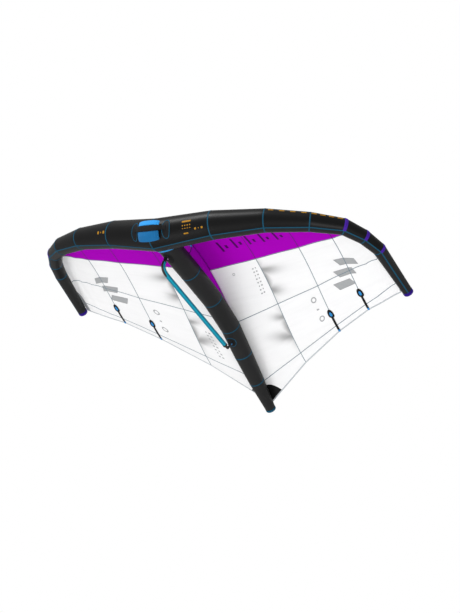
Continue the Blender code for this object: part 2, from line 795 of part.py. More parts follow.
def canopy_web():
    """The upright cloth that ties the middle of the canopy down to the strut, on the canopy's own rows."""
    seam = FRONT_SEAM_SHARES[0]
    half_seam = GAP / 2 / float(chord(np.array(0.0)))
    front = front_rows() * (seam - half_seam)
    middle = seam + half_seam + middle_rows() * (MIDDLE_SEAM_SHARES[0] - seam - 2 * half_seam)
    shares = np.concatenate([front, middle])
    top = canopy(np.zeros(len(shares)), shares)
    height = top[:, 2] - strut_top(top[:, 1])
    kept = top[(top[:, 1] > WEB_START) & (height > WEB_LEAST_HEIGHT)]
    foot = np.column_stack([kept[:, 0], kept[:, 1], strut_top(kept[:, 1])])
    half = np.array((WEB_THICKNESS / 2, 0, 0))
    lift = np.array((0, 0, GAP))
    walls = [np.array([foot + lift + way * half, kept - lift + way * half]) for way in (-1, 1)]
    return shell("canopy_web", *walls, PURPLE_CLOTH)


# Battens: a stiff strip along each outer seam, behind a teardrop pocket patch
def under_canopy(name, side, station, chord_shares, half_widths, thickness, finish):
    """A flat strip under the canopy, along one station, with a half width at each chord share."""
    pace = np.linalg.norm(canopy(station + STEP, chord_shares) - canopy(station - STEP, chord_shares), axis=-1)
    sideways = half_widths / (pace / (2 * STEP))
    stations = station + np.outer([-1, 0, 1], sideways)
    shares = np.broadcast_to(chord_shares, stations.shape)
    skin, normal = canopy(stations, shares), canopy_normal(stations, shares)
    mirror = np.array((side, 1, 1))
    low = (skin - (CLOTH_SEAT + thickness) * normal) * mirror
    high = (skin - CLOTH_SEAT * normal) * mirror
    return shell(name, low, high, finish)


def battens():
    for side, word in ((1, "right"), (-1, "left")):
        for station, start in zip(BATTEN_STATIONS, BATTEN_START_SHARES):
            length = float(chord(np.array(float(station))))
            half_patch = PATCH_LENGTH / 2 / length
            place = "inner" if station == BATTEN_STATIONS[0] else "outer"
            shares = np.linspace(start + half_patch + GAP / length, 1 - BATTEN_TAIL / length, 6)
            widths = np.full(len(shares), BATTEN_WIDTH / 2)
            under_canopy(
                f"batten_{place}_{word}", side, station, shares, widths, BATTEN_THICKNESS, BLACK_PLASTIC
            )
            # Egg: a narrow front, broadest behind its middle, round at both ends
            way = np.linspace(0, 1, 11)
            round_end = np.sqrt(1 - np.abs(2 * way - 1) ** DROP_ROUNDNESS)
            drop = round_end * (DROP_NOSE_SHARE + (1 - DROP_NOSE_SHARE) * way)
            widths = np.maximum(drop * PATCH_WIDTH / 2, BATTEN_WIDTH / 4)
            shares = start + (2 * way - 1) * half_patch
            under_canopy(
                f"batten_patch_{place}_{word}", side, station, shares, widths, PATCH_THICKNESS, BLACK_RUBBER
            )


# Front handle: a padded strap between two stitched anchors
FACET = LE_ROOT_RADIUS * FULL_TURN / SIDES
HANDLE_TURN = float(le_turn(0.0, HANDLE_ANGLE))


def handle_lift(x):
    """Height of the strap's underside over the tube: high in the middle, low at its ends."""
    share = np.abs(x) / HANDLE_HALF_LENGTH
    return HANDLE_END_LIFT + (HANDLE_LIFT - HANDLE_END_LIFT) * (1 - share**3)


def on_le(x, arc, lift):
    """Points round the tube's front: arc is the way round from the handle's line, in metres on the skin."""
    station = le_station(np.abs(x))
    mirror = np.stack([np.where(x < 0, -1, 1), np.ones(np.shape(x)), np.ones(np.shape(x))], axis=-1)
    return le_surface(station, HANDLE_TURN + arc / FACET, lift) * mirror


def le_patch(name, x, arc, low, high, finish, **place):
    x, arc, low, high = np.broadcast_arrays(x, arc, low, high)
    return shell(name, on_le(x, arc, low), on_le(x, arc, high), finish, **place)


def facet_corners():
    """Way round the tube to each of its corners, so that a patch can lie flat on every facet."""
    return (np.arange(SIDES) - HANDLE_TURN) * FACET


def handle():
    # The handle rocks about the line where it lies on the tube
    line = Vector(on_le(np.zeros(()), 0.0, 0.0))
    axis = bpy.data.objects.new("handle_axis", None)
    bpy.context.scene.collection.objects.link(axis)
    axis.parent = WING
    axis.location = line
    rocking = {"matrix": Matrix.Translation(-line), "parent": axis}
    # Strap and pad share their rows, so the strap lies evenly on the pad
    half = WEBBING_WIDTH / 2
    corners = facet_corners()
    pad_x = np.linspace(-PAD_HALF_LENGTH, PAD_HALF_LENGTH, 9)
    ends = np.linspace(PAD_HALF_LENGTH, HANDLE_HALF_LENGTH, 3)[1:]
    x = np.concatenate([-ends[::-1], pad_x, ends])[:, None]
    arc = np.concatenate([[-half], corners[np.abs(corners) < half], [half]])[None]
    le_patch("handle_webbing", x, arc, handle_lift(x), handle_lift(x) + WEBBING_THICKNESS, WEBBING, **rocking)
    inner = corners[(corners > PAD_EDGE - PAD_ABOVE) & (corners < PAD_BELOW - PAD_EDGE)]
    arc = np.sort(np.concatenate([[-PAD_ABOVE, -half, half, PAD_BELOW], inner]))[None]
    x = pad_x[:, None]
    top = handle_lift(x) - GAP
    le_patch("handle_pad", x, arc, top - PAD_THICKNESS, top, BLUE_FOAM, **rocking)
    anchor_half = ANCHOR_HEIGHT / 2
    off = corners - ANCHOR_DROP
    rows = np.concatenate([[-anchor_half], off[np.abs(off) < anchor_half - PAD_EDGE], [anchor_half]])
    oval = np.sqrt(np.maximum(1 - (rows / anchor_half) ** 2, ANCHOR_TIP_SHARE))
    for side, word in ((1, "right"), (-1, "left")):
        across = np.linspace(-1, 1, 5)[:, None] * oval[None] * ANCHOR_WIDTH / 2
        x = side * (ANCHOR_DISTANCE + across)
        arc = ANCHOR_DROP + rows[None]
        anchor = le_patch(f"handle_anchor_{word}", x, arc, GAP, GAP + ANCHOR_THICKNESS, BLACK_RUBBER)
        # The strap's sewn-down end, which climbs from the patch to the loose strap
        x = np.linspace(HANDLE_HALF_LENGTH + GAP, HANDLE_HALF_LENGTH + ANCHOR_TAB_LENGTH, 5)[:, None]
        climb = 1 - (x - x[0]) / (x[-1] - x[0])
        low = GAP + ANCHOR_THICKNESS / 2 + climb * (HANDLE_END_LIFT - GAP - ANCHOR_THICKNESS / 2)
        arc = np.linspace(-WEBBING_WIDTH / 2, WEBBING_WIDTH / 2, 4)[None]
        tab = le_patch(f"handle_tab_{word}", side * x, arc, low, low + WEBBING_THICKNESS, WEBBING)
        join(anchor, tab)


# Boom fittings on the strut's underside
HALF_TURN = SIDES / 2


def strut_frame(y, lift):
    """Frame on the strut's bottom line: X across, Y forward along it, Z straight down from the strut."""
    station = strut_station(y)
    ahead = strut_surface(station + STEP, HALF_TURN, 0) - strut_surface(station - STEP, HALF_TURN, 0)
    point = strut_surface(station, HALF_TURN, lift)
    return frame(point, (1, 0, 0), -ahead)


def strut_pad(name, y, length, width):
    """A round-ended rubber patch that follows the strut's facets."""
    facet = FULL_TURN / SIDES * float(np.interp(y, STRUT_CENTRES[:, 1], STRUT_RADII))
    reach = math.floor(width / 2 / facet)
    turns = np.concatenate([[-width / 2 / facet], np.arange(-reach, reach + 1), [width / 2 / facet]])
    way = np.linspace(-1, 1, 7)
    oval = np.sqrt(np.maximum(1 - (turns * facet / (width / 2)) ** 2, PAD_END_SHARE))
    ys = y + way[:, None] * oval[None] * length / 2
    stations = strut_station(ys)
    around = HALF_TURN + np.broadcast_to(turns, stations.shape)
    low = strut_surface(stations, around, GAP)
    high = strut_surface(stations, around, GAP + BOOM_PAD_THICKNESS)
    return shell(name, low, high, BLACK_RUBBER)


def fitting(name, y, length, width, ear):
    """A base with two ears, bolted through its pad, and a pin hole across the ears."""
    place = strut_frame(y, 2 * GAP + BOOM_PAD_THICKNESS)
    half, reach = width / 2, PIVOT_DROP + EAR_BEYOND_PIN
    base = block(name, (-half, -length / 2, 0), (half, length / 2, SOCKET_BASE), BLACK_PLASTIC, matrix=place)
    for way, word in ((-1, "a"), (1, "b")):
        inner, outer = sorted((way * (half - ear), way * half))
        low = (inner, -length / 4, SOCKET_BASE / 2)
        high = (outer, length / 4, reach)
        join(base, block(f"{name}_ear_{word}", low, high, BLACK_PLASTIC, matrix=place))
    return base, place


def across_matrix(place, drop, x=0.0):
    """A frame on a fitting whose Z runs across it, at a drop below its base."""
    point = place @ Vector((x, 0, drop))
    z = place.to_3x3() @ Vector((1, 0, 0))
    y = place.to_3x3() @ Vector((0, 1, 0))
    return frame(point, y.cross(z), y)


def pin_hole(piece, name, place, drop, radius, length):
    profile = ((0, -length), (radius, -length), (radius, length), (0, length))
    cut(piece, turned(name, profile, STEEL, matrix=across_matrix(place, drop)))


def boom_path():
    """The boom's middle line: down from its front pivot, round the bend and straight to the rear."""
    socket = strut_frame(BOOM_PIVOT_Y, 2 * GAP + BOOM_PAD_THICKNESS)
    pivot = np.array(socket @ Vector((0, 0, PIVOT_DROP)))
    bend = np.array((0, BOOM_BEND_Y, BOOM_BEND_Z))
    rear = np.array((0, BOOM_REAR_Y, BOOM_REAR_Z))
    way = unit(rear - bend)
    down = np.array((0, 0, -1))
    neck = pivot + BOOM_NECK * down
    curve = bezier(neck, neck + BEND_REACH * down, bend - BEND_REACH * way, bend, np.linspace(0, 1, 9))
    return pivot, neck, curve, rear


def boom():
    pivot, neck, curve, rear = boom_path()
    path = np.vstack([curve, curve[-1] + (rear - curve[-1]) * np.linspace(0, 1, 5)[1:, None]])
    swell = np.minimum(np.linspace(0, 1, len(curve)) * BOOM_SWELL_RATE, 1)
    radii = np.concatenate(
        [BOOM_NECK_RADIUS + swell * (BOOM_RADIUS - BOOM_NECK_RADIUS), np.full(4, BOOM_RADIUS)]
    )
    axis = bpy.data.objects.new("boom_pivot", None)
    bpy.context.scene.collection.objects.link(axis)
    axis.parent = WING
    axis.location = pivot
    shift = Matrix.Translation(-Vector(pivot))

    def riding(name, low, high, finish):
        return shell(name, low, high, finish, wrap=True, matrix=shift, parent=axis)

    riding("boom_tube", rings(path, radii - BOOM_WALL), rings(path, radii), TEAL_BOOM)

    # Front elbow: a boss on the pin, a neck with a spigot in the tube, and a guard round the bend's outside
    inner = BOOM_NECK_RADIUS - BOOM_WALL - GAP
    first = unit(curve[1] - curve[0])
    shoulder = neck - first * GAP
    clear_of_ears = pivot + (neck - pivot) * NECK_FLARE_SHARE
    column = np.array([neck + first * FRONT_SPIGOT, shoulder, shoulder, clear_of_ears, pivot])
    ring = rings([neck, curve[1]], 1.0)[0] - neck
    radii_up = np.array([inner, inner, BOOM_NECK_RADIUS + GUARD_THICKNESS, NECK_RADIUS, NECK_RADIUS])
    grid = column[:, None] + ring[None] * radii_up[:, None, None]
    elbow = closed_tube("boom_front_elbow", grid, BLACK_PLASTIC, matrix=shift, parent=axis)
    ear_space = SOCKET_WIDTH / 2 - SOCKET_EAR - GAP
    profile = ((0, -ear_space), (BOSS_RADIUS, -ear_space), (BOSS_RADIUS, ear_space), (0, ear_space))
    place = strut_frame(BOOM_PIVOT_Y, 2 * GAP + BOOM_PAD_THICKNESS)
    boss = turned("boom_boss", profile, BLACK_PLASTIC, matrix=across_matrix(place, PIVOT_DROP))
    join(elbow, boss)
    guard_path = np.vstack([[neck - first * GUARD_THICKNESS], curve[:GUARD_ROWS]])
    guard_radii = np.concatenate([[radii[0]], radii[:GUARD_ROWS]])
    near = rings(guard_path, guard_radii + GAP, sides=12)
    away = rings(guard_path, guard_radii + GUARD_THICKNESS, sides=12)
    outside = [4, 5, 6, 7, 8]
    guard = shell("boom_guard", near[:, outside], away[:, outside], BLACK_PLASTIC)
    join(elbow, guard)
    pin_hole(elbow, "boom_pin_hole", place, PIVOT_DROP, PIN_RADIUS + GAP, SOCKET_WIDTH)

    # Rear hook: a spigot in the tube, a shoulder, and a tongue that bends up between the bracket's ears
    rear_place = strut_frame(BRACKET_Y, 2 * GAP + BOOM_PAD_THICKNESS)
    tongue_end = np.array(rear_place @ Vector((0, 0, SOCKET_BASE + 2 * GAP + TONGUE_HALF)))
    up = np.array(rear_place.to_3x3() @ Vector((0, 0, -1)))
    way = unit(rear - curve[-1])
    bore = BOOM_RADIUS - BOOM_WALL - GAP
    lead = np.array([rear - way * SPIGOT, rear + way * GAP, rear + way * GAP, rear + way * HOOK_RADIUS / 2])
    start = rear + way * HOOK_RADIUS
    bent = bezier(start, start + way * HOOK_REACH, tongue_end - up * HOOK_REACH, tongue_end, np.linspace(0, 1, 7))
    lead_ring = rings([rear, rear + way], 1.0)[0] - rear
    lead_radii = np.array([bore, bore, BOOM_RADIUS, BOOM_RADIUS])
    lead_grid = lead[:, None] + lead_ring[None] * lead_radii[:, None, None]
    hook_radii = np.full(len(bent), HOOK_RADIUS)
    flat = np.linspace(HOOK_RADIUS, TONGUE_HALF, 4)
    flats = np.concatenate([flat, np.full(len(bent) - len(flat), TONGUE_HALF)])
    bent_grid = rings(bent, hook_radii, squash=flats)
    closed_tube("boom_rear_hook", np.vstack([lead_grid, bent_grid]), BLACK_PLASTIC, matrix=shift, parent=axis)


def boom_mounts():
    strut_pad("boom_front_pad", BOOM_PIVOT_Y + FRONT_PAD_SHIFT, FRONT_PAD_LENGTH, FRONT_PAD_WIDTH)
    strut_pad("boom_rear_pad", BRACKET_Y, REAR_PAD_LENGTH, REAR_PAD_WIDTH)
    socket, place = fitting("boom_socket", BOOM_PIVOT_Y, SOCKET_LENGTH, SOCKET_WIDTH, SOCKET_EAR)
    pin_hole(socket, "socket_pin_hole", place, PIVOT_DROP, PIN_RADIUS + GAP, SOCKET_WIDTH)
    out = SOCKET_WIDTH / 2 + GAP
    profile = (
        (0, -out - PIN_HEAD),
        (PIN_HEAD_RADIUS, -out - PIN_HEAD),
        (PIN_HEAD_RADIUS, -out),
        (PIN_RADIUS, -out),
        (PIN_RADIUS, out),
        (PIN_HEAD_RADIUS, out),
        (PIN_HEAD_RADIUS, out + PIN_HEAD),
        (0, out + PIN_HEAD),
    )
    turned("boom_pin", profile, STEEL, matrix=across_matrix(place, PIVOT_DROP))
    bracket, place = fitting("boom_bracket", BRACKET_Y, BRACKET_LENGTH, BRACKET_WIDTH, SOCKET_EAR)
    drop = (SOCKET_BASE + PIVOT_DROP + EAR_BEYOND_PIN) / 2
    hole = ((0, 0), (LATCH_RADIUS + GAP, 0), (LATCH_RADIUS + GAP, BRACKET_WIDTH), (0, BRACKET_WIDTH))
    cut(bracket, turned("latch_hole", hole, STEEL, matrix=across_matrix(place, drop)))
    tip = TONGUE_HALF + GAP
    out = BRACKET_WIDTH / 2 + GAP
    profile = ((0, tip), (LATCH_RADIUS, tip), (LATCH_RADIUS, out), (LATCH_HEAD_RADIUS, out))
    profile += ((LATCH_HEAD_RADIUS, out + LATCH_HEAD), (0, out + LATCH_HEAD))
    turned("boom_latch", profile, SEAM_BLUE, matrix=across_matrix(place, drop))


# Inflation valve: a flanged body through the skin, a bayonet lock in it and a hinged cap on that
def valve(panels, bladder):
    station = le_station(VALVE_X)
    seat = le_surface(station, le_turn(station, 0), 0)
    place = frame(seat, (1, 0, 0), (0, 0, -1))
    flange = VALVE_SEAT + VALVE_FLANGE
    top = VALVE_SEAT + VALVE_BODY_HEIGHT
    profile = (
        (VALVE_BORE, -VALVE_NECK_DEPTH),
        (VALVE_NECK, -VALVE_NECK_DEPTH),
        (VALVE_NECK, VALVE_SEAT),
        (VALVE_FLANGE_RADIUS, VALVE_SEAT),
        (VALVE_FLANGE_RADIUS, flange),
        (VALVE_BODY_RADIUS, flange),
        (VALVE_BODY_RADIUS, top),
        (VALVE_BORE, top),
    )
    turned("valve_body", profile, BLACK_PLASTIC, ring=True, segments=24, matrix=place)
    hole_radius = VALVE_NECK + GAP
    deep = VALVE_NECK_DEPTH + CUT_OVERRUN
    hole = ((0, -deep), (hole_radius, -deep), (hole_radius, CUT_OVERRUN), (0, CUT_OVERRUN))
    cutter = turned("valve_hole", hole, STEEL, matrix=place)
    cut(panels["leading_edge_panel_right_1"], cutter)
    cut(bladder, cutter)

    low = top + GAP
    high = low + LOCK_HEIGHT
    profile = (
        (LOCK_BORE, low - LOCK_SKIRT_DEPTH),
        (VALVE_BORE - GAP, low - LOCK_SKIRT_DEPTH),
        (VALVE_BORE - GAP, low),
        (LOCK_RADIUS, low),
        (LOCK_RADIUS, high),
        (LOCK_BORE, high),
    )
    lock = turned("valve_lock", profile, BLACK_PLASTIC, ring=True, segments=24, matrix=place)
    half = LOCK_LUG_WIDTH / 2
    for way, word in ((-1, "a"), (1, "b")):
        inner, outer = sorted((way * LOCK_RADIUS * ROOTED_SHARE, way * (LOCK_RADIUS + LOCK_LUG)))
        join(lock, block(f"lock_lug_{word}", (inner, -half, low), (outer, half, high), BLACK_PLASTIC, matrix=place))
    ear = CAP_HINGE_OFFSET + CAP_HINGE_RADIUS
    join(
        lock,
        block(
            "lock_ear", (-CAP_HINGE_WIDTH / 2, -ear, low), (CAP_HINGE_WIDTH / 2, -LOCK_RADIUS * ROOTED_SHARE, high),
            BLACK_PLASTIC, matrix=place,
        ),
    )

    under = high + GAP
    hinge_height = under + CAP_HINGE_RADIUS
    hinge = place @ Vector((0, -CAP_HINGE_OFFSET, hinge_height))
    axis = bpy.data.objects.new("valve_cap_hinge", None)
    bpy.context.scene.collection.objects.link(axis)
    axis.parent = WING
    axis.location = hinge
    local = Matrix.Translation(-hinge) @ place
    profile = (
        (0, under - CAP_PLUG_DEPTH),
        (CAP_PLUG_RADIUS, under - CAP_PLUG_DEPTH),
        (CAP_PLUG_RADIUS, under),
        (CAP_RADIUS, under),
        (CAP_RADIUS, under + CAP_HEIGHT),
        (0, under + CAP_HEIGHT),
    )
    cap = turned("valve_cap", profile, BLUE_FOAM, segments=24, matrix=local, parent=axis)
    half = CAP_HINGE_WIDTH / 2
    low_corner = (-half, -CAP_HINGE_OFFSET, under + GAP)
    high_corner = (half, -CAP_RADIUS * ROOTED_SHARE, under + CAP_HEIGHT - GAP)
    join(cap, block("cap_arm", low_corner, high_corner, BLUE_FOAM, matrix=local, parent=axis))
    barrel = ((0, -half), (CAP_HINGE_RADIUS, -half), (CAP_HINGE_RADIUS, half), (0, half))
    across = frame(place @ Vector((0, -CAP_HINGE_OFFSET, hinge_height)), (0, 0, 1), (0, 1, 0))
    join(cap, turned("cap_barrel", barrel, BLUE_FOAM, segments=12, matrix=across))
    pull = (-half, CAP_RADIUS * ROOTED_SHARE, under + GAP)
    pull_end = (half, CAP_RADIUS + LOCK_LUG, under + CAP_HEIGHT - GAP)
    join(cap, block("cap_pull", pull, pull_end, BLUE_FOAM, matrix=local, parent=axis))


def hose(panels, bladder, strut, inner_strut):
    """The hose that lets one valve fill both bladders: out of the leading edge and round into the strut."""
    station = le_station(HOSE_X)
    leave = le_surface(station, le_turn(station, HOSE_LEAVE_ANGLE), 0) * (-1, 1, 1)
    enter_station = strut_station(HOSE_ENTRY_Y)
    enter = strut_surface(enter_station, SIDES * (3 / 4 + HOSE_ENTRY_ANGLE / 360), 0)
    aft_up, left_up = math.radians(HOSE_LEAVE_ANGLE), math.radians(HOSE_ENTRY_ANGLE)
    out = np.array((0, math.cos(aft_up), math.sin(aft_up)))
    off = np.array((-math.cos(left_up), 0, math.sin(left_up)))
    bend = bezier(leave, leave + out * HOSE_REACH, enter + off * HOSE_REACH, enter, np.linspace(0, 1, 9))
    path = np.vstack([[leave - out * HOSE_DEPTH], bend, [enter - off * HOSE_DEPTH]])
    up = (0, 0, 1)
    shell(
        "inflation_hose",
        rings(path, HOSE_BORE, across=up, sides=10),
        rings(path, HOSE_RADIUS, across=up, sides=10),
        CLEAR_FILM,
        wrap=True,
    )
    radius = HOSE_RADIUS + 2 * GAP
    reach = HOSE_DEPTH + CUT_OVERRUN
    hole = ((0, -reach), (radius, -reach), (radius, CUT_OVERRUN), (0, CUT_OVERRUN))
    le_cutter = turned("hose_hole_front", hole, STEEL, matrix=frame(leave, (1, 0, 0), np.cross(out, (1, 0, 0))))
    strut_cutter = turned("hose_hole_strut", hole, STEEL, matrix=frame(enter, (0, 1, 0), np.cross(off, (0, 1, 0))))
    cut(panels["leading_edge_panel_left_1"], le_cutter)
    cut(bladder, le_cutter)
    cut(strut["strut_panel_1"], strut_cutter)
    cut(inner_strut, strut_cutter)


le_skin = le_panels()
le_tube = le_bladder()
tip_caps()
strut_skin = strut_panels()
strut_tube = strut_bladder()
strut_collar()
strut_end_cap()
canopy_cloths()
canopy_web()
battens()
handle()
boom_mounts()
boom()
valve(le_skin, le_tube)
hose(le_skin, le_tube, strut_skin, strut_tube)
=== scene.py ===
"""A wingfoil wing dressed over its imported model: sewn sleeves, stretched canopy, padded handle, boom and valve.

The script runs from top to bottom in the order in which the wing is put together. Shapes are worked out in the
wing's own frame, whose zero is the middle of the leading edge, and moved to the grip's frame with the mesh.
"""

import json
import math

import bmesh
import bpy
import numpy as np
from mathutils import Matrix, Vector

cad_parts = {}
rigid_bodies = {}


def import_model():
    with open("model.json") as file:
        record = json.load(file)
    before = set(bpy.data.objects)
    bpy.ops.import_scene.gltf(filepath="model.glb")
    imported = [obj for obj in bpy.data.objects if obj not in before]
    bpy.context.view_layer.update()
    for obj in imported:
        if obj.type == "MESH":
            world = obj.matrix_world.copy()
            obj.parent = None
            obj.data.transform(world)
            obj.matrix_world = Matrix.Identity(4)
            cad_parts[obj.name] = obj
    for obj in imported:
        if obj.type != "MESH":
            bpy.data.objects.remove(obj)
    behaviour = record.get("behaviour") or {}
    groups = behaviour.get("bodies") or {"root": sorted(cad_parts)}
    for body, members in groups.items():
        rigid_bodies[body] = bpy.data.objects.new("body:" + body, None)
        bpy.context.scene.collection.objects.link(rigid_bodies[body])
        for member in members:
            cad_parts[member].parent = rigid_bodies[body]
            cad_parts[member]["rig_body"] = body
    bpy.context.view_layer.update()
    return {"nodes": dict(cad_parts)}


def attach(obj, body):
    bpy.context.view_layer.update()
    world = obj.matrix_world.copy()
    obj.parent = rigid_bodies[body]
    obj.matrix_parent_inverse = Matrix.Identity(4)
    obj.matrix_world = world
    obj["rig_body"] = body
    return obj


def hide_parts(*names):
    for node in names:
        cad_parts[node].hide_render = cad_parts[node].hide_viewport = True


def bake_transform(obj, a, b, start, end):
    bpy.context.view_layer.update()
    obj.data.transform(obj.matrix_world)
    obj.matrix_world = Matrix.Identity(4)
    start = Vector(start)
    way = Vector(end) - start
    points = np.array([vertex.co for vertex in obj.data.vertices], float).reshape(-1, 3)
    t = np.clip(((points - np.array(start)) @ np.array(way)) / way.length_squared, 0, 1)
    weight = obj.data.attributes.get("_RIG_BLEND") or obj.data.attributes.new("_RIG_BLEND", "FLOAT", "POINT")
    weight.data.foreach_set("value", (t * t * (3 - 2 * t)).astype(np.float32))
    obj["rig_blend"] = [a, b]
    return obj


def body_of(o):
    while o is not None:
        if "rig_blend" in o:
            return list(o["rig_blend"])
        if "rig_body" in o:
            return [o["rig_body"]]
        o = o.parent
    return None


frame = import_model()

# Camera
# A long lens from below and in front of the right half, as a product picture of a hanging wing is taken.
GRIP = np.array((0.0, 0.694, -0.0875))
CAMERA_PLACE = np.array((5.2590, -5.0470, -5.5800)) - GRIP
CAMERA_RIGHT = (0.84519105, 0.42417967, 0.32515181)
CAMERA_UP = (0.05117526, -0.66980275, 0.74077349)
CAMERA_BACK = (0.53200863, -0.6094554, -0.5878188)
LENS = 79.32

camera_data = bpy.data.cameras.new("camera")
camera_data.lens = LENS
camera_data.sensor_width = 36
camera_data.clip_end = 100


def placed(name, data):
    """A new object in the scene."""
    made = bpy.data.objects.new(name, data)
    bpy.context.scene.collection.objects.link(made)
    return made


camera = placed("camera", camera_data)
axes = Matrix((CAMERA_RIGHT, CAMERA_UP, CAMERA_BACK)).transposed().to_4x4()
camera.matrix_world = Matrix.Translation(CAMERA_PLACE) @ axes
bpy.context.scene.camera = camera

# Leading edge sleeve
# Fourteen tapered panels of coated polyester sail cloth, cut on the mitre and sewn into one tapering arch.
# The bladder inside blows them up hard, so each is a straight cone that draws in a little at its seams.
HALF_SPAN, TIP_SWEEP, TIP_RISE = 1.404, 0.997, 0.282
ROOT_RADIUS, TIP_RADIUS = 0.114, 0.0345
CENTRES = np.column_stack(
    [
        HALF_SPAN * np.array((0.0, 0.288, 0.544, 0.738, 0.866, 0.928, 0.964, 1.0)),
        TIP_SWEEP * np.array((0.0, 0.025, 0.084, 0.18, 0.302, 0.432, 0.573, 1.0)),
        TIP_RISE * np.array((0.0, 0.264, 0.471, 0.647, 0.851, 0.934, 1.0, 1.0)),
    ]
)
TAPER = np.array((1.0, 0.81, 0.575, 0.4, 0.28, 0.2, 0.145, 0.0))
RADII = TIP_RADIUS + TAPER * (ROOT_RADIUS - TIP_RADIUS)
SEAM_ANGLES = np.radians((110, 108, 105, 100, 90, 75, 60, 45))
LAST = len(RADII) - 1
SIDES = ((1, "right"), (-1, "left"))


def unit(vectors):
    """Vectors scaled to length one."""
    return vectors / np.linalg.norm(vectors, axis=-1, keepdims=True)


def mitres(centres):
    """Directions square to the mitre planes: at each bend, halfway between the runs that meet there."""
    runs = unit(np.diff(centres, axis=0))
    return unit(np.vstack([runs[:1], runs[:-1] + runs[1:], runs[-1:]]))


TANGENTS = mitres(CENTRES)
TANGENTS[0] = (1, 0, 0)
AFT = unit(np.cross((0, 0, 1), TANGENTS))
UP = np.cross(TANGENTS, AFT)
RUNS = np.linalg.norm(np.diff(CENTRES, axis=0), axis=1)


def tube(frames, station, turn, lift):
    """A point of a tube of straight runs: rings in the mitre planes joined by straight lines.

    frames holds each ring's centre, radius, start angle and two directions. Stations count the rings.
    """
    centres, radii, starts, first, second = frames
    station, turn, lift = np.broadcast_arrays(*(np.asarray(a, float) for a in (station, turn, lift)))
    k = np.clip(np.floor(station).astype(int), 0, len(radii) - 2)
    t = (station - k)[..., None]

    def ring(i):
        angle = (starts[i] + 2 * np.pi * turn)[..., None]
        spoke = np.cos(angle) * first[i] + np.sin(angle) * second[i]
        return centres[i] + (radii[i] + lift)[..., None] * spoke

    return (1 - t) * ring(k) + t * ring(k + 1)


def sleeve(station, turn, lift=0.0):
    """A point of the leading edge: stations run from the middle outwards, negative to the left.

    A turn starts at the seam where the canopy is sewn on, and lift is the height over the sleeve.
    """
    points = tube((CENTRES, RADII, SEAM_ANGLES, AFT, UP), np.abs(station), turn, lift)
    points[..., 0] *= np.where(np.asarray(station) < 0, -1, 1)
    return points


def round_shares(sides):
    """Even places round a ring, as shares of a turn."""
    return np.arange(sides) / sides


def round_angles(sides):
    return 2 * np.pi * round_shares(sides)


def path_length(points, axis=0):
    """How far each point lies along its path, from the first."""
    steps = np.linalg.norm(np.diff(points, axis=axis), axis=-1)
    return np.insert(np.cumsum(steps, axis=axis), 0, 0.0, axis=axis)


def spread(across, along):
    """A UV map from measures across the columns and along the rows."""
    return np.stack(np.broadcast_arrays(across[None], along[:, None]), -1)


def squares(index):
    """The four corners of each face of a grid of numbered points."""
    return np.stack([index[:-1, :-1], index[:-1, 1:], index[1:, 1:], index[1:, :-1]], -1).reshape(-1, 4)


def piece(name, grid, finishes, nodes=(), around=False, ring=False, capped=False, uv=None, wall=0.0,
          facing=None, kinds=None, body="wing", crease=None):
    """A mesh through a grid of points, as rows of columns.

    around closes the columns, ring closes the rows too, and capped fills both ends. Faces look away from the
    middle of the grid, or along facing. kinds gives each column of faces its material. wall thickens a sheet.
    """
    rows, columns = grid.shape[:2]
    index = np.arange(rows * columns).reshape(rows, columns)
    corner = np.arange((rows + ring) * (columns + around)).reshape(rows + ring, columns + around)
    if around:
        index = np.hstack([index, index[:, :1]])
    if ring:
        index = np.vstack([index, index[:1]])
    fours = [squares(index), squares(corner)]
    points = grid.reshape(-1, 3) - GRIP
    p = points[fours[0]]
    normals = np.cross(p[:, 2] - p[:, 0], p[:, 3] - p[:, 1])
    away = p.mean(1) - points.mean(0) if facing is None else np.array(facing, float)
    turned = (normals * away).sum() < 0
    if turned:
        fours = [f[:, ::-1] for f in fours]
    faces = fours[0].tolist()
    if capped:
        first, last = index[0, :columns].tolist(), index[-1, :columns].tolist()
        faces += [first if turned else first[::-1], last[::-1] if turned else last]
    mesh = bpy.data.meshes.new(name)
    mesh.from_pydata(points.tolist(), [], faces)
    if uv is None:
        across, along = np.meshgrid(np.arange(columns + around), np.arange(rows + ring))
        uv = np.stack([across / columns, along / rows], -1)
    flat = uv.reshape(-1, 2)[fours[1].ravel()]
    loops = np.zeros((len(mesh.loops), 2))
    loops[: len(flat)] = flat
    mesh.uv_layers.new(name="UVMap").data.foreach_set("uv", loops.ravel())
    finishes = finishes if isinstance(finishes, list) else [finishes]
    for finish in finishes:
        mesh.materials.append(finish)
    if kinds is not None:
        chosen = np.zeros(len(mesh.polygons), int)
        chosen[: len(fours[0])] = np.tile(kinds, rows + ring - 1)
        mesh.polygons.foreach_set("material_index", chosen)
    mesh.shade_smooth()
    if crease is not None:
        mesh.set_sharp_from_angle(angle=math.radians(crease))
    made = placed(name, mesh)
    if wall:
        thick = made.modifiers.new("wall", "SOLIDIFY")
        thick.thickness = wall
        thick.offset = -1
    if body:
        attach(made, body)
    if nodes:
        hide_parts(*nodes)
    return made


def linked(tree, kind, **inputs):
    """A new shader node with its inputs set or linked."""
    node = tree.nodes.new(f"ShaderNode{kind}")
    for key, value in inputs.items():
        socket = node.inputs[int(key[1:]) if key[0] == "_" else key.replace("_", " ")]
        if isinstance(value, bpy.types.NodeSocket):
            tree.links.new(value, socket)
        else:
            socket.default_value = value
    return node


def sums(tree, operation, first, second=0.0):
    node = linked(tree, "Math", _0=first, _1=second)
    node.operation = operation
    return node.outputs[0]


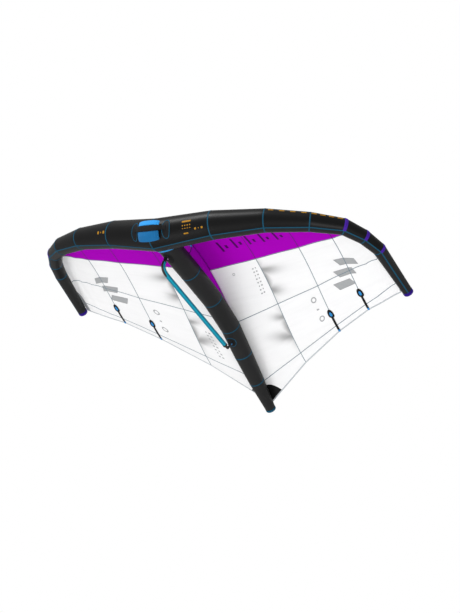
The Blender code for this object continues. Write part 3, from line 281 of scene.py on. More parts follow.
def mixed(tree, factor, first, second):
    """Two colours mixed by a factor."""
    node = tree.nodes.new("ShaderNodeMix")
    node.data_type = "RGBA"
    for socket, value in zip((node.inputs[0], node.inputs[6], node.inputs[7]), (factor, first, second)):
        if isinstance(value, bpy.types.NodeSocket):
            tree.links.new(value, socket)
        else:
            socket.default_value = (*value, 1)
    return node.outputs[2]


def shades(tree, factor, colour, dark, light):
    """A colour that runs from a darker to a lighter shade of itself."""
    return mixed(tree, factor, tuple(c * dark for c in colour), tuple(min(c * light, 1) for c in colour))


def noise(tree, place, scale, detail=2.0, roughness=0.5):
    return linked(tree, "TexNoise", Vector=place, Scale=scale, Detail=detail, Roughness=roughness).outputs[0]


def new_finish(name, slot, **settings):
    """A new material: the material, its node tree and its shader. The slot is not used."""
    made = bpy.data.materials.new(name)
    made.use_nodes = True
    shader = made.node_tree.nodes["Principled BSDF"]
    for socket, value in settings.items():
        shader.inputs[socket.replace("_", " ")].default_value = value
    return made, made.node_tree, shader


def link_surface(tree, shader, tone, height, strength, depth):
    """Link a colour, and a height for the bump, to a shader."""
    tree.links.new(tone, shader.inputs["Base Color"])
    bump = linked(tree, "Bump", Height=height, Strength=strength, Distance=depth)
    tree.links.new(bump.outputs[0], shader.inputs["Normal"])


def painted_pucker_shade(tree, tone):
    """A soft grey painted shade of the puckered cloth on both sides of the wing, fading away from the first
    chordwise seam.

    Each cloud is a bell curve of the distance off the seam and of the place along it, on one side only.
    """
    across, along, _ = linked(tree, "SeparateXYZ", Vector=linked(tree, "TexCoord").outputs["Object"]).outputs
    seam = sums(tree, "ADD", sums(tree, "MULTIPLY", along, FIRST_SEAM_SLANT), FIRST_SEAM_OUT)
    off = sums(tree, "SUBTRACT", sums(tree, "ABSOLUTE", across), seam)
    shade = 0.0
    for way, middle, tall, reach in PUCKER_SHADE_CLOUDS:
        beside = sums(tree, "GREATER_THAN", sums(tree, "MULTIPLY", off, way))
        out = sums(tree, "DIVIDE", off, reach)
        away = sums(tree, "DIVIDE", sums(tree, "SUBTRACT", along, middle), tall)
        total = sums(tree, "ADD", *(sums(tree, "MULTIPLY", part, part) for part in (out, away)))
        cloud = sums(tree, "EXPONENT", sums(tree, "MULTIPLY", total, -1.0))
        shade = sums(tree, "MAXIMUM", shade, sums(tree, "MULTIPLY", cloud, beside))
    return mixed(tree, sums(tree, "MULTIPLY", shade, PUCKER_SHADE_DEPTH), tone, PUCKER_SHADE_GREY)


FIRST_SEAM_OUT, FIRST_SEAM_SLANT = 0.4027, 0.0152
# Grey and depth of the painted shade that stands for the puckers beside the first seam.
PUCKER_SHADE_DEPTH, PUCKER_SHADE_GREY = 0.78, (0.2, 0.2, 0.203)
# Clouds of painted pucker shade: the side of the seam, the middle and height along it, the reach off it.
PUCKER_SHADE_CLOUDS = (
    (1.0, -0.02, 0.04, 0.13),
    (1.0, 0.05, 0.15, 0.03),
    (1.0, 0.16, 0.045, 0.085),
    (-1.0, 0.4, 0.035, 0.085),
    (-1.0, 0.5, 0.14, 0.035),
    (-1.0, 0.575, 0.045, 0.15),
)


def waves(tree, place, spacing):
    """Two crossed rows of even waves, spaced in metres of the UV map."""
    rows = []
    for way in ("X", "Y"):
        wave = linked(tree, "TexWave", Vector=place, Scale=0.314 / spacing)
        wave.bands_direction = way
        rows.append(wave.outputs[1])
    return rows


def sail_cloth(name, slot, colour, thread, roughness, relief, mottle, ripstop=0.0, sheen=0.0, shine=0.2,
               pucker_shade=False):
    """Woven cloth on its UV map in metres: crossed threads, a ripstop grid, blotches, streaks and, if asked,
    painted shade.
    """
    made, tree, shader = new_finish(name, slot, Roughness=roughness, Sheen_Weight=sheen,
                                    Specular_IOR_Level=shine)
    place = linked(tree, "UVMap").outputs[0]
    height = sums(tree, "ADD", *waves(tree, place, thread))
    tone = shades(tree, noise(tree, place, 9.0, 4.0, 0.6), colour, 1 - mottle, 1 + mottle)
    if ripstop:
        streak = noise(tree, linked(tree, "Mapping", Vector=place, Scale=(2.2, 26.0, 1.0)).outputs[0], 1.0)
        faint = sums(tree, "MULTIPLY", sums(tree, "POWER", streak, 3.0), 0.6)
        tone = mixed(tree, faint, tone, tuple(c * 0.8 for c in colour))
        lines = (sums(tree, "POWER", line, 24.0) for line in waves(tree, place, ripstop))
        rib = sums(tree, "MAXIMUM", *lines)
        tone = mixed(tree, sums(tree, "MULTIPLY", rib, 0.35), tone, tuple(c * 0.86 for c in colour))
        height = sums(tree, "ADD", height, sums(tree, "MULTIPLY", rib, 2.0))
    # Painted shade: grey clouds beside the first seam stand for the shade of the puckered cloth.
    if pucker_shade:
        tone = painted_pucker_shade(tree, tone)
    link_surface(tree, shader, tone, height, 0.5, relief)
    return made


SLEEVE_CLOTH = sail_cloth("coated_sail_cloth", "black_sailcloth", (0.005, 0.005, 0.0052), 0.0007, 0.4, 0.00006,
                          0.18, shine=0.13)
# A lighter copy of the sleeve cloth for the strut and the outermost panels: painted light where more light falls.
PAINTED_LIGHTER_CLOTH = sail_cloth("sail_cloth_painted_lighter", "black_sailcloth", (0.0155, 0.0155, 0.0158), 0.0007, 0.46, 0.00006,
                        0.15, shine=0.16)
# A lighter copy of the cloth for the strip below the lengthwise seam: painted light on the sleeve's lower front.
LIT_STRIP_CLOTH = sail_cloth("sail_cloth_painted_light_strip", "black_sailcloth", (0.014, 0.0142, 0.0145), 0.0007, 0.46, 0.00006,
                        0.15, shine=0.16)
SLEEVE_SIDES = 96
SLEEVE_WALL = 0.001
FRONT_SEAM_TURNS = (0.47, 0.452, 0.436, 0.428, 0.432, 0.45, 0.478, 0.53)
# Where the painted light strip starts round the sleeve from the seam, and how much of a turn it takes.
LIT_STRIP_START, LIT_STRIP_SHARE = 0.45, 0.15
DIP, DIP_REACH = 0.0014, 0.009
PUCKER, PUCKER_REACH = 0.0004, 0.0225


def seam_turn(station):
    """Where the lengthwise seam runs, low on the sleeve's front, in turns."""
    return np.interp(np.abs(station), range(LAST + 1), FRONT_SEAM_TURNS)


def drawn_in(station, turn, run):
    """How far the sleeve pulls in at a seam: an even dip and fine puckers that die away from the stitches."""
    off = np.abs(station)
    near = np.minimum(off % 1, 1 - off % 1) * run
    pucker = np.sin(2 * np.pi * 46 * turn + 3 * np.sin(2 * np.pi * 5 * turn))
    return -DIP * np.exp(-near / DIP_REACH) + PUCKER * pucker * np.exp(-near / PUCKER_REACH)


def sleeve_panels():
    """Each panel is dark but for a lighter strip of painted light that starts at the lengthwise seam and shifts
    with it.
    """
    shares = round_shares(SLEEVE_SIDES)
    low, high = round(LIT_STRIP_START * SLEEVE_SIDES), round((LIT_STRIP_START + LIT_STRIP_SHARE) * SLEEVE_SIDES)
    marks = (0, low / SLEEVE_SIDES, high / SLEEVE_SIDES, 1)
    kinds = np.zeros(SLEEVE_SIDES, int)
    kinds[low:high] = 1
    ends = 0.5 - 0.5 * np.cos(np.pi * np.linspace(0, 1, 21))
    for side, word in SIDES:
        for k in range(LAST):
            station = (k + ends)[:, None]
            seam = seam_turn(station)
            knots = np.stack([0 * seam, seam, seam + LIT_STRIP_SHARE, 0 * seam + 1], -1)[:, 0]
            turn = np.array([np.interp(shares, marks, row) for row in knots])
            around = np.hstack([turn, turn[:, :1] + 1]) * np.pi * (RADII[k] + RADII[k + 1])
            along = np.broadcast_to(station * RUNS[k], around.shape)
            inside = side * np.clip(station, 1e-9, k + 1 - 1e-9)
            points = sleeve(inside, turn, drawn_in(station, turn, RUNS[k]))
            # The outermost panel takes the lighter copy of the cloth, as painted light; the strip below the seam
            # is painted light too.
            cloths = [SLEEVE_CLOTH if k < LAST - 1 else PAINTED_LIGHTER_CLOTH, LIT_STRIP_CLOTH]
            piece(f"sleeve_{word}_{k + 1}", points, cloths, [f"leading_edge_panel_{word}_{k + 1}"], around=True,
                  uv=np.stack([around, along], -1), kinds=kinds, wall=SLEEVE_WALL)


sleeve_panels()

# Seam tapes of the leading edge
# Blue binding tape is sewn over the ring seams near the middle, broad indigo bands over those at the bend,
# one blue tape along the front, and a black one where the canopy is sewn on.


def stripe(tree, across, middle, half):
    """One where a coordinate lies within half of a middle, and zero elsewhere."""
    return sums(tree, "LESS_THAN", sums(tree, "ABSOLUTE", sums(tree, "SUBTRACT", across, middle)), half)


def stitched(name, slot, colour, thread_colour, stitch=0.004, rows=(0.25, 0.75), shine=0.2):
    """Sewn tape on a UV map across it, 0 to 1, and along it in metres: broken lines of thread."""
    made, tree, shader = new_finish(name, slot, Roughness=0.6, Specular_IOR_Level=shine)
    place = linked(tree, "UVMap").outputs[0]
    across, along, _ = linked(tree, "SeparateXYZ", Vector=place).outputs
    dash = sums(tree, "LESS_THAN", sums(tree, "FRACT", sums(tree, "DIVIDE", along, stitch)), 0.62)
    lines = [stripe(tree, across, row, 0.045) for row in rows]
    thread = sums(tree, "MULTIPLY", sums(tree, "MAXIMUM", lines[0], lines[-1]), dash)
    grain = noise(tree, place, 60.0, 3.0)
    tone = mixed(tree, thread, shades(tree, grain, colour, 0.82, 1.15), thread_colour)
    height = sums(tree, "ADD", thread, sums(tree, "MULTIPLY", grain, 0.3))
    link_surface(tree, shader, tone, height, 0.6, 0.0003)
    return made


BLUE_TAPE = stitched("blue_tape", "seam_blue", (0.006, 0.066, 0.12), (0.015, 0.12, 0.2), shine=0.1)
INDIGO_TAPE = stitched("indigo_tape", "indigo_cloth", (0.055, 0.012, 0.3), (0.09, 0.03, 0.4), shine=0.08)
DEEP_INDIGO = stitched("deep_indigo_binding", "indigo_cloth", (0.022, 0.005, 0.19), (0.05, 0.015, 0.27),
                       shine=0.08)
BLACK_TAPE = stitched("black_tape", "black_sailcloth", (0.016, 0.016, 0.018), (0.05, 0.05, 0.055))
TAPE_SUNK = 0.0006


def tape_section(half, thickness):
    """The outline across a tape, as offsets and lifts: flat on top with rounded shoulders."""
    return np.array(
        [(-half, -TAPE_SUNK), (-half, 0.3 * thickness),
         (-0.9 * half, 0.85 * thickness), (-0.5 * half, thickness),
         (0.5 * half, thickness), (0.9 * half, 0.85 * thickness),
         (half, 0.3 * thickness), (half, -TAPE_SUNK)]
    )


def tape_uv(section, along):
    """Across the tape from 0 to 1, and along it in metres."""
    half = section[:, 0].max()
    across = np.append(section[:, 0], section[0, 0]) / half / 2 + 0.5
    return spread(across, along)


def ring_tape(name, station, half, thickness, finish, first=0.0, last=1.0):
    """A tape round the sleeve at a seam, from one turn to another."""
    section = tape_section(half, thickness)
    whole = last - first == 1
    turns = np.linspace(first, last, SLEEVE_SIDES + 1)
    k = abs(station)
    run = np.where(section[:, 0] * np.sign(station or 1) > 0, RUNS[min(k, LAST - 1)], RUNS[max(k - 1, 0)])
    places = turns[: SLEEVE_SIDES + 1 - whole, None]
    points = sleeve((station + section[:, 0] / run)[None], places, section[:, 1] - RING_SUNK)
    piece(name, points, finish, around=True, ring=whole, capped=not whole,
          uv=tape_uv(section, turns * 2 * np.pi * RADII[k]))


RING_SUNK = 0.0012
RING_TAPE = (0.0042, 0.0018)
RING_BAND = (0.0115, 0.0026)
BAND_START = 0.03
for k in range(-6, 7):
    word = "middle" if k == 0 else f"{'right' if k > 0 else 'left'}_{abs(k)}"
    ring_tape(f"ring_seam_{word}", k, *RING_TAPE, BLUE_TAPE)
    if abs(k) > 3:
        ring_tape(f"ring_band_{word}", k, *RING_BAND, INDIGO_TAPE, BAND_START, float(seam_turn(k)))


def sleeve_line(name, turn_at, last, half, thickness, finish):
    """A tape along the sleeve between two last stations: turn_at gives its place round the sleeve."""
    section = tape_section(half, thickness)
    stations = np.unique(np.concatenate([np.linspace(-last, last, 240), np.arange(1 - LAST, LAST)]))
    radius = np.interp(np.abs(stations), range(LAST + 1), RADII)
    turns = turn_at(stations)[:, None] + section[:, 0] / (2 * np.pi * radius[:, None])
    points = sleeve(stations[:, None], turns, section[:, 1])
    piece(name, points, finish, around=True, capped=True, uv=tape_uv(section, path_length(points[:, 3])))


sleeve_line("front_seam", seam_turn, 6.97, 0.0042, 0.0012, BLUE_TAPE)
sleeve_line("canopy_joint", np.zeros_like, 6.9, 0.009, 0.0016, BLACK_TAPE)

# Marks on the leading edge
# Plain bars, dots and dashes screen-printed in orange, with no words or signs.


def printed(name, slot, colour, shine=0.15):
    """Ink on cloth: one colour, slightly broken by the weave under it."""
    made, tree, shader = new_finish(name, slot, Roughness=0.55, Specular_IOR_Level=shine)
    grain = noise(tree, linked(tree, "TexCoord").outputs["Object"], 260.0)
    link_surface(tree, shader, shades(tree, grain, colour, 0.8, 1.12), grain, 0.3, 0.0001)
    return made


ORANGE_INK = printed("orange_ink", "black_sailcloth", (0.42, 0.2, 0.01))


def sleeve_mark(name, station, turn, wide, high):
    """A printed bar on the sleeve, wide along it and high round it, in metres."""
    k = min(int(abs(station)), LAST - 1)
    radius = float(np.interp(abs(station), range(LAST + 1), RADII))
    s = station + np.linspace(-0.5, 0.5, 7)[:, None] * wide / RUNS[k]
    t = turn + np.linspace(-0.5, 0.5, 5)[None] * high / (2 * np.pi * radius)
    outward = sleeve(station, turn, 1.0) - sleeve(station, turn, 0.0)
    piece(name, sleeve(s, t, 0.0006), ORANGE_INK, wall=0.0004, facing=outward)


sleeve_mark("orange_bar_wide", 0.645, 0.245, 0.062, 0.012)
for column in range(4):
    sleeve_mark(f"orange_square_upper_{column + 1}", 0.585 + 0.04 * column, 0.288, 0.008, 0.008)
    sleeve_mark(f"orange_square_lower_{column + 1}", 0.585 + 0.04 * column, 0.318, 0.008, 0.005)
sleeve_mark("orange_bar_narrow", 0.63, 0.37, 0.032, 0.009)
for row, size in enumerate((0.013, 0.006, 0.013)):
    sleeve_mark(f"orange_dot_right_{row + 1}", 0.79 + 0.055 * row, 0.338, size, size)
    sleeve_mark(f"orange_dot_left_{row + 1}", -1.06 - 0.08 * row, 0.29, 1.3 * size, 1.5 * size)
for row in range(8):
    sleeve_mark(f"orange_dash_{row + 1}", 2.14 + 0.24 * row, 0.15 + 0.0035 * row, 0.034, 0.014)

# Wing tips
# Each end of the sleeve is closed by a round of black cloth, gathered under a broad indigo binding.
BINDING_WALL = 0.0008
TIP_SIDES = 72
END_OUT, END_LIP = 0.012, 0.0113


def tube_end(names, node, ring, axis, radius, reach, folds, split, tape):
    """A binding over a tube's end, and the gathered cloth that closes it, as rings from the edge inwards.

    ring gives the points at a lift over the tube. The binding reaches back along the tube, and gives way to
    the cloth at row split. folds holds how many folds the cloth has and how deep they are.
    """
    turns = round_shares(TIP_SIDES)
    out = np.concatenate([[-reach, -reach, 0.002 - reach, 0.004], np.linspace(0.0055, END_OUT, 8)])
    lift = np.concatenate([[-0.0008, 0.0012, 0.0018, 0.0018], 0.0012 - 0.0125 * np.linspace(0, 1, 8) ** 1.5])
    rows = [ring(turns, high) + wide * axis for wide, high in zip(out, lift)]
    for share in (0.75, 0.5, 0.25, 0.06):
        wide = END_OUT - 0.001 * (1 - share) + folds[1] * share * np.sin(2 * np.pi * folds[0] * turns)
        rows.append(ring(turns, (radius - END_LIP) * share - radius) + wide[:, None] * axis)
    points = np.array(rows)
    along = np.arange(len(rows)) * 0.004
    around = np.linspace(0, 1, TIP_SIDES + 1) * 2 * np.pi * radius
    piece(names[0], points[: split + 1], tape, [node], around=True, wall=BINDING_WALL,
          uv=spread(around, along / 0.05)[: split + 1, :, ::-1])
    piece(names[1], points[split:], SLEEVE_CLOTH, around=True, capped=True, uv=spread(around, along)[split:],
          facing=axis)


for side, word in SIDES:
    tube_end((f"tip_binding_{word}", f"tip_round_{word}"), f"tip_cap_{word}",
             lambda turn, lift: sleeve(side * LAST, turn, lift), TANGENTS[LAST] * (side, 1, 1),
             TIP_RADIUS, 0.022, (18, 0.0005), 8, DEEP_INDIGO)

# Strut
# Six panels of the same cloth, in a lighter copy that is painted light, over a second bladder: a slender tube
# # that arches and then tapers to the tail.
# Its root is cut to the round of the leading edge and finished with bright blue piping.
STRUT_LENGTH, STRUT_ARCH = 1.887, 0.116
STRUT_SHARES = np.array((0.0, 0.234, 0.409, 0.568, 0.703, 0.847, 1.0))
STRUT_CENTRES = np.column_stack(
    [
        0 * STRUT_SHARES,
        STRUT_LENGTH * STRUT_SHARES,
        STRUT_ARCH * np.array((0.1, 0.642, 0.987, 1.0, 0.642, 0.316, 0.0)),
    ]
)
STRUT_ROOT_RADIUS, STRUT_TAIL_RADIUS = 0.0785, 0.038
STRUT_TAPER = np.array((1.0, 0.95, 0.9, 0.86, 0.75, 0.48, 0.0))
STRUT_RADII = STRUT_TAIL_RADIUS + (STRUT_ROOT_RADIUS - STRUT_TAIL_RADIUS) * STRUT_TAPER
STRUT_TANGENTS = mitres(STRUT_CENTRES)
STRUT_UP = np.cross((1, 0, 0), STRUT_TANGENTS)
STRUT_RUNS = np.linalg.norm(np.diff(STRUT_CENTRES, axis=0), axis=1)
STRUT_LAST = len(STRUT_RADII) - 1
ROOT_GAP = 0.0003


def strut(station, turn, lift=0.0):
    """A point of the strut, whose stations run from its root to its tail; a turn starts at its top."""
    flat = np.zeros(STRUT_LAST + 1)
    frames = (STRUT_CENTRES, STRUT_RADII, flat, STRUT_UP, np.outer(flat + 1, (1, 0, 0)))
    return tube(frames, station, turn, lift)


def strut_root(turn, lift=0.0):
    """The station where each line along the strut meets the leading edge, found by halving."""
    low, high = np.zeros(np.shape(turn)), np.ones(np.shape(turn))
    for _ in range(30):
        middle = (low + high) / 2
        p = strut(middle, turn, lift)
        p[..., 0] = np.abs(p[..., 0])
        share = np.clip(p @ CENTRES[1] / (CENTRES[1] @ CENTRES[1]), 0, 1)
        away = np.linalg.norm(p - share[..., None] * CENTRES[1], axis=-1)
        outside = away > RADII[0] + (RADII[1] - RADII[0]) * share + ROOT_GAP
        low, high = np.where(outside, low, middle), np.where(outside, middle, high)
    return high


def strut_panels():
    turns = round_shares(SLEEVE_SIDES)
    ends = 0.5 - 0.5 * np.cos(np.pi * np.linspace(0, 1, 19))
    for k in range(STRUT_LAST):
        start = strut_root(turns) if k == 0 else np.full(SLEEVE_SIDES, float(k))
        station = start + (k + 1 - start) * ends[:, None]
        lift = drawn_in(station, turns[None], STRUT_RUNS[k])
        if k == 0:
            lift = lift * np.clip((station - start) * 20, 0, 1)
        around = np.linspace(0, 1, SLEEVE_SIDES + 1) * 2 * np.pi * STRUT_RADII[k]
        along = np.hstack([station, station[:, :1]]) * STRUT_RUNS[k]
        points = strut(np.minimum(station, k + 1 - 1e-9), turns[None], lift)
        # The strut's panels take the lighter copy of the sleeve cloth, as painted light.
        piece(f"strut_sleeve_{k + 1}", points, PAINTED_LIGHTER_CLOTH, [f"strut_panel_{k + 1}"], around=True,
              uv=np.stack(np.broadcast_arrays(around, along), -1), wall=SLEEVE_WALL)


def strut_ring(name, station):
    section = tape_section(*RING_TAPE)
    turns = np.linspace(0, 1, SLEEVE_SIDES + 1)
    run = np.where(section[:, 0] > 0, STRUT_RUNS[station], STRUT_RUNS[station - 1])
    points = strut((station + section[:, 0] / run)[None], turns[:-1, None], section[:, 1] - RING_SUNK)
    along = turns * 2 * np.pi * STRUT_RADII[station]
    piece(name, points, BLUE_TAPE, around=True, ring=True, uv=tape_uv(section, along))


def root_piping():
    """A round cord in cloth that follows the strut's cut root, laid half over the strut."""
    turns = np.linspace(0, 1, SLEEVE_SIDES + 1)
    loop = round_angles(12)
    start = strut_root(turns[:-1], 0.002)
    offset = 0.0072 + 0.007 * np.cos(loop)
    points = strut(start[:, None] + offset / STRUT_RUNS[0], turns[:-1, None], 0.0028 + 0.0034 * np.sin(loop))
    piece("root_piping", points, BRIGHT_TAPE, ["strut_collar"], around=True, ring=True,
          uv=spread(np.linspace(0, 1, 13), turns * 2 * np.pi * STRUT_RADII[0]))


BRIGHT_TAPE = stitched("bright_blue_piping", "seam_blue", (0.03, 0.27, 0.62), (0.06, 0.38, 0.75), rows=(0.5,))
strut_panels()
for k in range(1, STRUT_LAST):
    strut_ring(f"strut_seam_{k}", k)
root_piping()
tube_end(("strut_tail_binding", "strut_tail_round"), "strut_end_cap",
         lambda turn, lift: strut(STRUT_LAST, turn, lift), STRUT_TANGENTS[STRUT_LAST], STRUT_TAIL_RADIUS, 0.014,
         (16, 0.0004), 7, BLUE_TAPE)

# Canopy
# Ripstop cloth in four runs a side, front to back, with the panels of each run joined at the chordwise seams.
# It is sewn to the leading edge and to the strut's top, so flying tension holds it in one smooth arch.
TAIL_CHORD = 1.872
STRUT_TOPS = strut(np.arange(STRUT_LAST + 1), 0)


def strut_top(y):
    """Height of the strut's top line."""
    return np.interp(y, STRUT_TOPS[:, 1], STRUT_TOPS[:, 2])


ATTACH = sleeve(np.arange(LAST + 1), 0, 0.0003)
TRAIL = np.column_stack(
    [
        HALF_SPAN * np.array((0.0, 0.296, 0.554, 0.753, 0.82, 0.875, 0.92)),
        TAIL_CHORD * np.array((1.0, 0.821, 0.689, 0.606, 0.584, 0.564, 0.549)),
        TIP_RISE * np.array((0.0, 0.528, 0.78, 0.954, 0.98, 1.0, 1.03)),
    ]
)
TRAIL[0, 2] = strut_top(TAIL_CHORD) + 0.0003
TRAIL = np.vstack([TRAIL, ATTACH[-1:]])
CROWN = 0.172 * np.array((1.0, 0.7, 0.494, 0.35, 0.29, 0.23, 0.12, 0.0))
CAMBER_POWER = 1.9
CAMBER_PEAK = CAMBER_POWER**CAMBER_POWER / (1 + CAMBER_POWER) ** (1 + CAMBER_POWER)


def arch(station, share):
    """A point of the canopy's underside: straight from front to back, plus a camber fullest near the front.

    Between stations the camber follows a cubic that passes through them smoothly. The strut's top carries the
    middle.
    """
    station, share = np.broadcast_arrays(np.asarray(station, float), np.asarray(share, float))
    out = np.abs(station)
    k = np.clip(np.floor(out).astype(int), 0, LAST - 1)
    t = out - k
    front = ATTACH[k] * (1 - t)[..., None] + ATTACH[k + 1] * t[..., None]
    back = TRAIL[k] * (1 - t)[..., None] + TRAIL[k + 1] * t[..., None]
    points = front + (back - front) * share[..., None]
    camber = share * (1 - share) ** CAMBER_POWER / CAMBER_PEAK
    rises = CROWN.reshape(-1, *[1] * share.ndim) * camber
    line = ATTACH[0] + (TRAIL[0] - ATTACH[0]) * share[..., None]
    rises[0] = np.maximum(rises[0], strut_top(line[..., 1]) + 0.0003 - line[..., 2])

    def at(i):
        return np.take_along_axis(rises, np.clip(i, 0, LAST)[None], axis=0)[0]

    before, near, far, after = at(k - 1), at(k), at(k + 1), at(k + 2)
    slope_near = np.where(k == 0, far - near, (far - before) / 2)
    slope_far = np.where(k == LAST - 1, far - near, (after - near) / 2)
    bend = 3 * (far - near) - 2 * slope_near - slope_far
    twist = slope_near + slope_far - 2 * (far - near)
    points[..., 2] += near + slope_near * t + bend * t**2 + twist * t**3
    points[..., 0] *= np.where(station < 0, -1, 1)
    return points


def arch_normal(station, share):
    """The canopy's upward normal, from small steps along and across it."""
    step = 1e-4
    side = np.where(np.asarray(station) < 0, -1, 1)
    out = np.abs(station)
    across = arch(side * np.minimum(out + step, LAST), share) - arch(side * np.maximum(out - step, 1e-9), share)
    along = arch(station, np.minimum(share + step, 1)) - arch(station, np.maximum(share - step, 0))
    normal = unit(np.cross(across, along))
    return normal * side[..., None]


def chord(station):
    """Straight length of the canopy from front to back."""
    return np.linalg.norm(arch(station, 1.0) - arch(station, 0.0), axis=-1)


PUCKERS = (
    (1, 1, 0.43, 0.03, 0.0065),
    (1, 1, 0.575, 0.018, 0.005),
    (1, -1, 0.7, 0.02, 0.005),
    (1, -1, 0.81, 0.03, 0.0065),
    (-1, 1, 0.44, 0.02, 0.005),
    (-1, 1, 0.55, 0.03, 0.0065),
    (-1, -1, 0.69, 0.03, 0.0065),
    (-1, -1, 0.83, 0.02, 0.005),
)


def slack(station, share):
    """How far the cloth stands off the plain arch: bays swell between seams, and pucker beside the first.

    The swell is sine squared across each bay and sine along the chord. A pucker is a cosine ripple along the
    chord; it dies away as a bell curve along the seam, and rises and then fades off to one side of it.
    """
    size = chord(station) / 1.8
    total = 0.005 * size * np.sin(np.pi * station) ** 2 * np.sin(np.pi * np.clip(share, 0, 1)) ** 0.6
    for side, way, middle, tall, deep in PUCKERS:
        off = np.maximum((station * side - 1) * way, 0) / 0.11
        fade = off * np.exp(1 - off) * np.exp(-(((share - middle) / tall) ** 2))
        total = total - deep * fade * np.cos(2 * np.pi * (share - middle) / 0.055 + 0.9)
    return total * np.clip(share * 12, 0, 1) * np.clip((1 - share) * 12, 0, 1)


def skin(station, share, lift=0.0):
    """A point lift above the canopy's underside, with its slack."""
    away = slack(station, share) + lift
    return arch(station, share) + away[..., None] * arch_normal(station, share)


def front_seam(station):
    """Chord share of the seam between the coloured front run and the white cloth behind it."""
    shares = (0.345, 0.371, 0.365, 0.312, 0.22, 0.038, 0.0, 0.0)
    return np.interp(np.abs(station), (0, 1, 2, 3, 3.8, 14 / 3, 4.85, 7), shares)


def middle_seam(station):
    shares = (0.6, 0.637, 0.65, 0.62, 0.556, 0.455, 0.262, 0.0, 0.0)
    return np.interp(np.abs(station), (0, 1, 2, 3, 4, 5, 6, 6.3, 7), shares)


def band_seam(station):
    width = np.interp(np.abs(station), range(LAST + 1), (0.205, 0.105, 0.062, 0.057, 0.068, 0.08, 0.088, 0.09))
    return np.maximum(1 - width / chord(station), 0)


MAGENTA = sail_cloth("magenta_ripstop", "magenta_cloth", (0.385, 0.0008, 0.475), 0.0005, 0.65, 0.00005, 0.05,
                     0.006, shine=0.02)
# The white cloth carries the painted shade of the puckers beside the first chordwise seam.
WHITE = sail_cloth("white_ripstop", "white_cloth", (0.94, 0.94, 0.945), 0.0005, 0.55, 0.00005, 0.012, 0.006,
                   shine=0.15, pucker_shade=True)
SEAM_GREY = stitched("grey_seam", "white_cloth", (0.2, 0.26, 0.3), (0.1, 0.15, 0.19))
SEAM_PLUM = stitched("plum_seam", "purple_cloth", (0.13, 0.002, 0.17), (0.06, 0.001, 0.09))
CLOTH_TOP, CLOTH_WALL = 0.0012, 0.0008


def run_of_cloth(name, node, side, finish, last, low, high, corners):
    """One run of the canopy between two spanwise seams, from the wing's middle out to a last station."""
    out = np.unique(np.round(np.concatenate([[1e-4], np.arange(0.025, last, 0.025), corners, [last]]), 6))
    share = low(out) + (high(out) - low(out)) * np.linspace(0, 1, 61)[:, None]
    points = skin(side * out, share, CLOTH_TOP)
    points[:, 0, 0] = 0
    over, down = path_length(points, axis=1), path_length(points)
    uv = np.stack([over, down], -1)
    made = piece(name, points, finish, [node], uv=uv, wall=CLOTH_WALL, facing=(0, 0, 1))


def end_station(width):
    """The outermost station at which the canopy is still that long; it shrinks evenly to the tip."""
    return LAST - width / float(chord(LAST - 1))


def nothing(station):
    return 0.0 * station


def everything(station):
    return 0.0 * station + 1


CLOTH_RUNS = (
    ("front_cloth", "canopy_front", MAGENTA, 4.849, nothing, front_seam, (1, 2, 3, 3.8, 4, 14 / 3)),
    ("middle_cloth", "canopy_middle", WHITE, 6.29, front_seam, middle_seam,
     (1, 2, 3, 3.8, 4, 14 / 3, 4.85, 5, 6)),
    ("rear_cloth", "canopy_rear", WHITE, end_station(0.104), middle_seam, band_seam, (1, 2, 3, 4, 5, 6, 6.3)),
    ("tail_cloth", "trailing_band", WHITE, end_station(0.014), band_seam, everything, (1, 2, 3, 4, 5, 6, 6.3)),
)
for side, word in SIDES:
    for name, node, *run in CLOTH_RUNS:
        run_of_cloth(f"{name}_{word}", f"{node}_{word}", side, *run)

# Canopy seams and hem
# The panels overlap a finger's width and are glued and zigzag sewn in grey thread; the trailing edge is folded
# into a hem, and the tail and tips have reinforcement patches.


def canopy_line(name, station, share, half, finish, low=-0.0004, high=0.002):
    """A tape through the cloth along stations and chord shares, from low under it to high over it."""
    middle = skin(station, share)
    path = unit(np.gradient(middle, axis=0))
    normal = arch_normal(station, share)
    sideways = unit(np.cross(normal, path))
    section = np.array(
        [(-1, low), (-1, high * 0.7), (-0.8, high), (0.8, high), (1, high * 0.7), (1, low), (0.8, low * 1.5),
         (-0.8, low * 1.5)]
    )
    points = middle[:, None] + section[:, :1] * half * sideways[:, None] + section[:, 1:] * normal[:, None]
    return piece(name, points, finish, around=True, capped=True, uv=tape_uv(section, path_length(middle)))


def canopy_seams():
    for side, word in SIDES:
        for k in (1, 2, 3):
            bend = float(front_seam(k))
            share = np.linspace(0.004, bend, 40)
            canopy_line(f"front_chord_seam_{word}_{k}", side * k, share, SEAM_HALF, SEAM_PLUM)
            share = np.linspace(bend, 0.997, 70)
            canopy_line(f"chord_seam_{word}_{k}", side * k, share, SEAM_HALF, SEAM_GREY)
        for line, last, label in SPAN_SEAMS:
            out = np.unique(np.concatenate([np.linspace(0.011, last, 120), np.arange(1, int(last) + 1)]))
            canopy_line(f"{label}_seam_{word}", side * out, line(out), SEAM_HALF, SEAM_GREY)
        out = np.unique(np.concatenate([np.linspace(0.008, 6.82, 150), np.arange(1, LAST)]))
        canopy_line(f"hem_{word}", side * out, 1 - 0.0055 / chord(out), 0.005, HEM, low=-0.001, high=0.0026)


SEAM_HALF = 0.0026
SPAN_SEAMS = ((front_seam, 4.8, "front"), (middle_seam, 6.24, "middle"), (band_seam, 6.7, "band"))
HEM = stitched("white_hem", "white_cloth", (0.55, 0.58, 0.6), (0.3, 0.36, 0.42), stitch=0.005)
canopy_seams()
canopy_line("centre_seam", 1e-3, np.linspace(0.38, 0.912, 80), 0.0042, SEAM_GREY, low=0.0003)


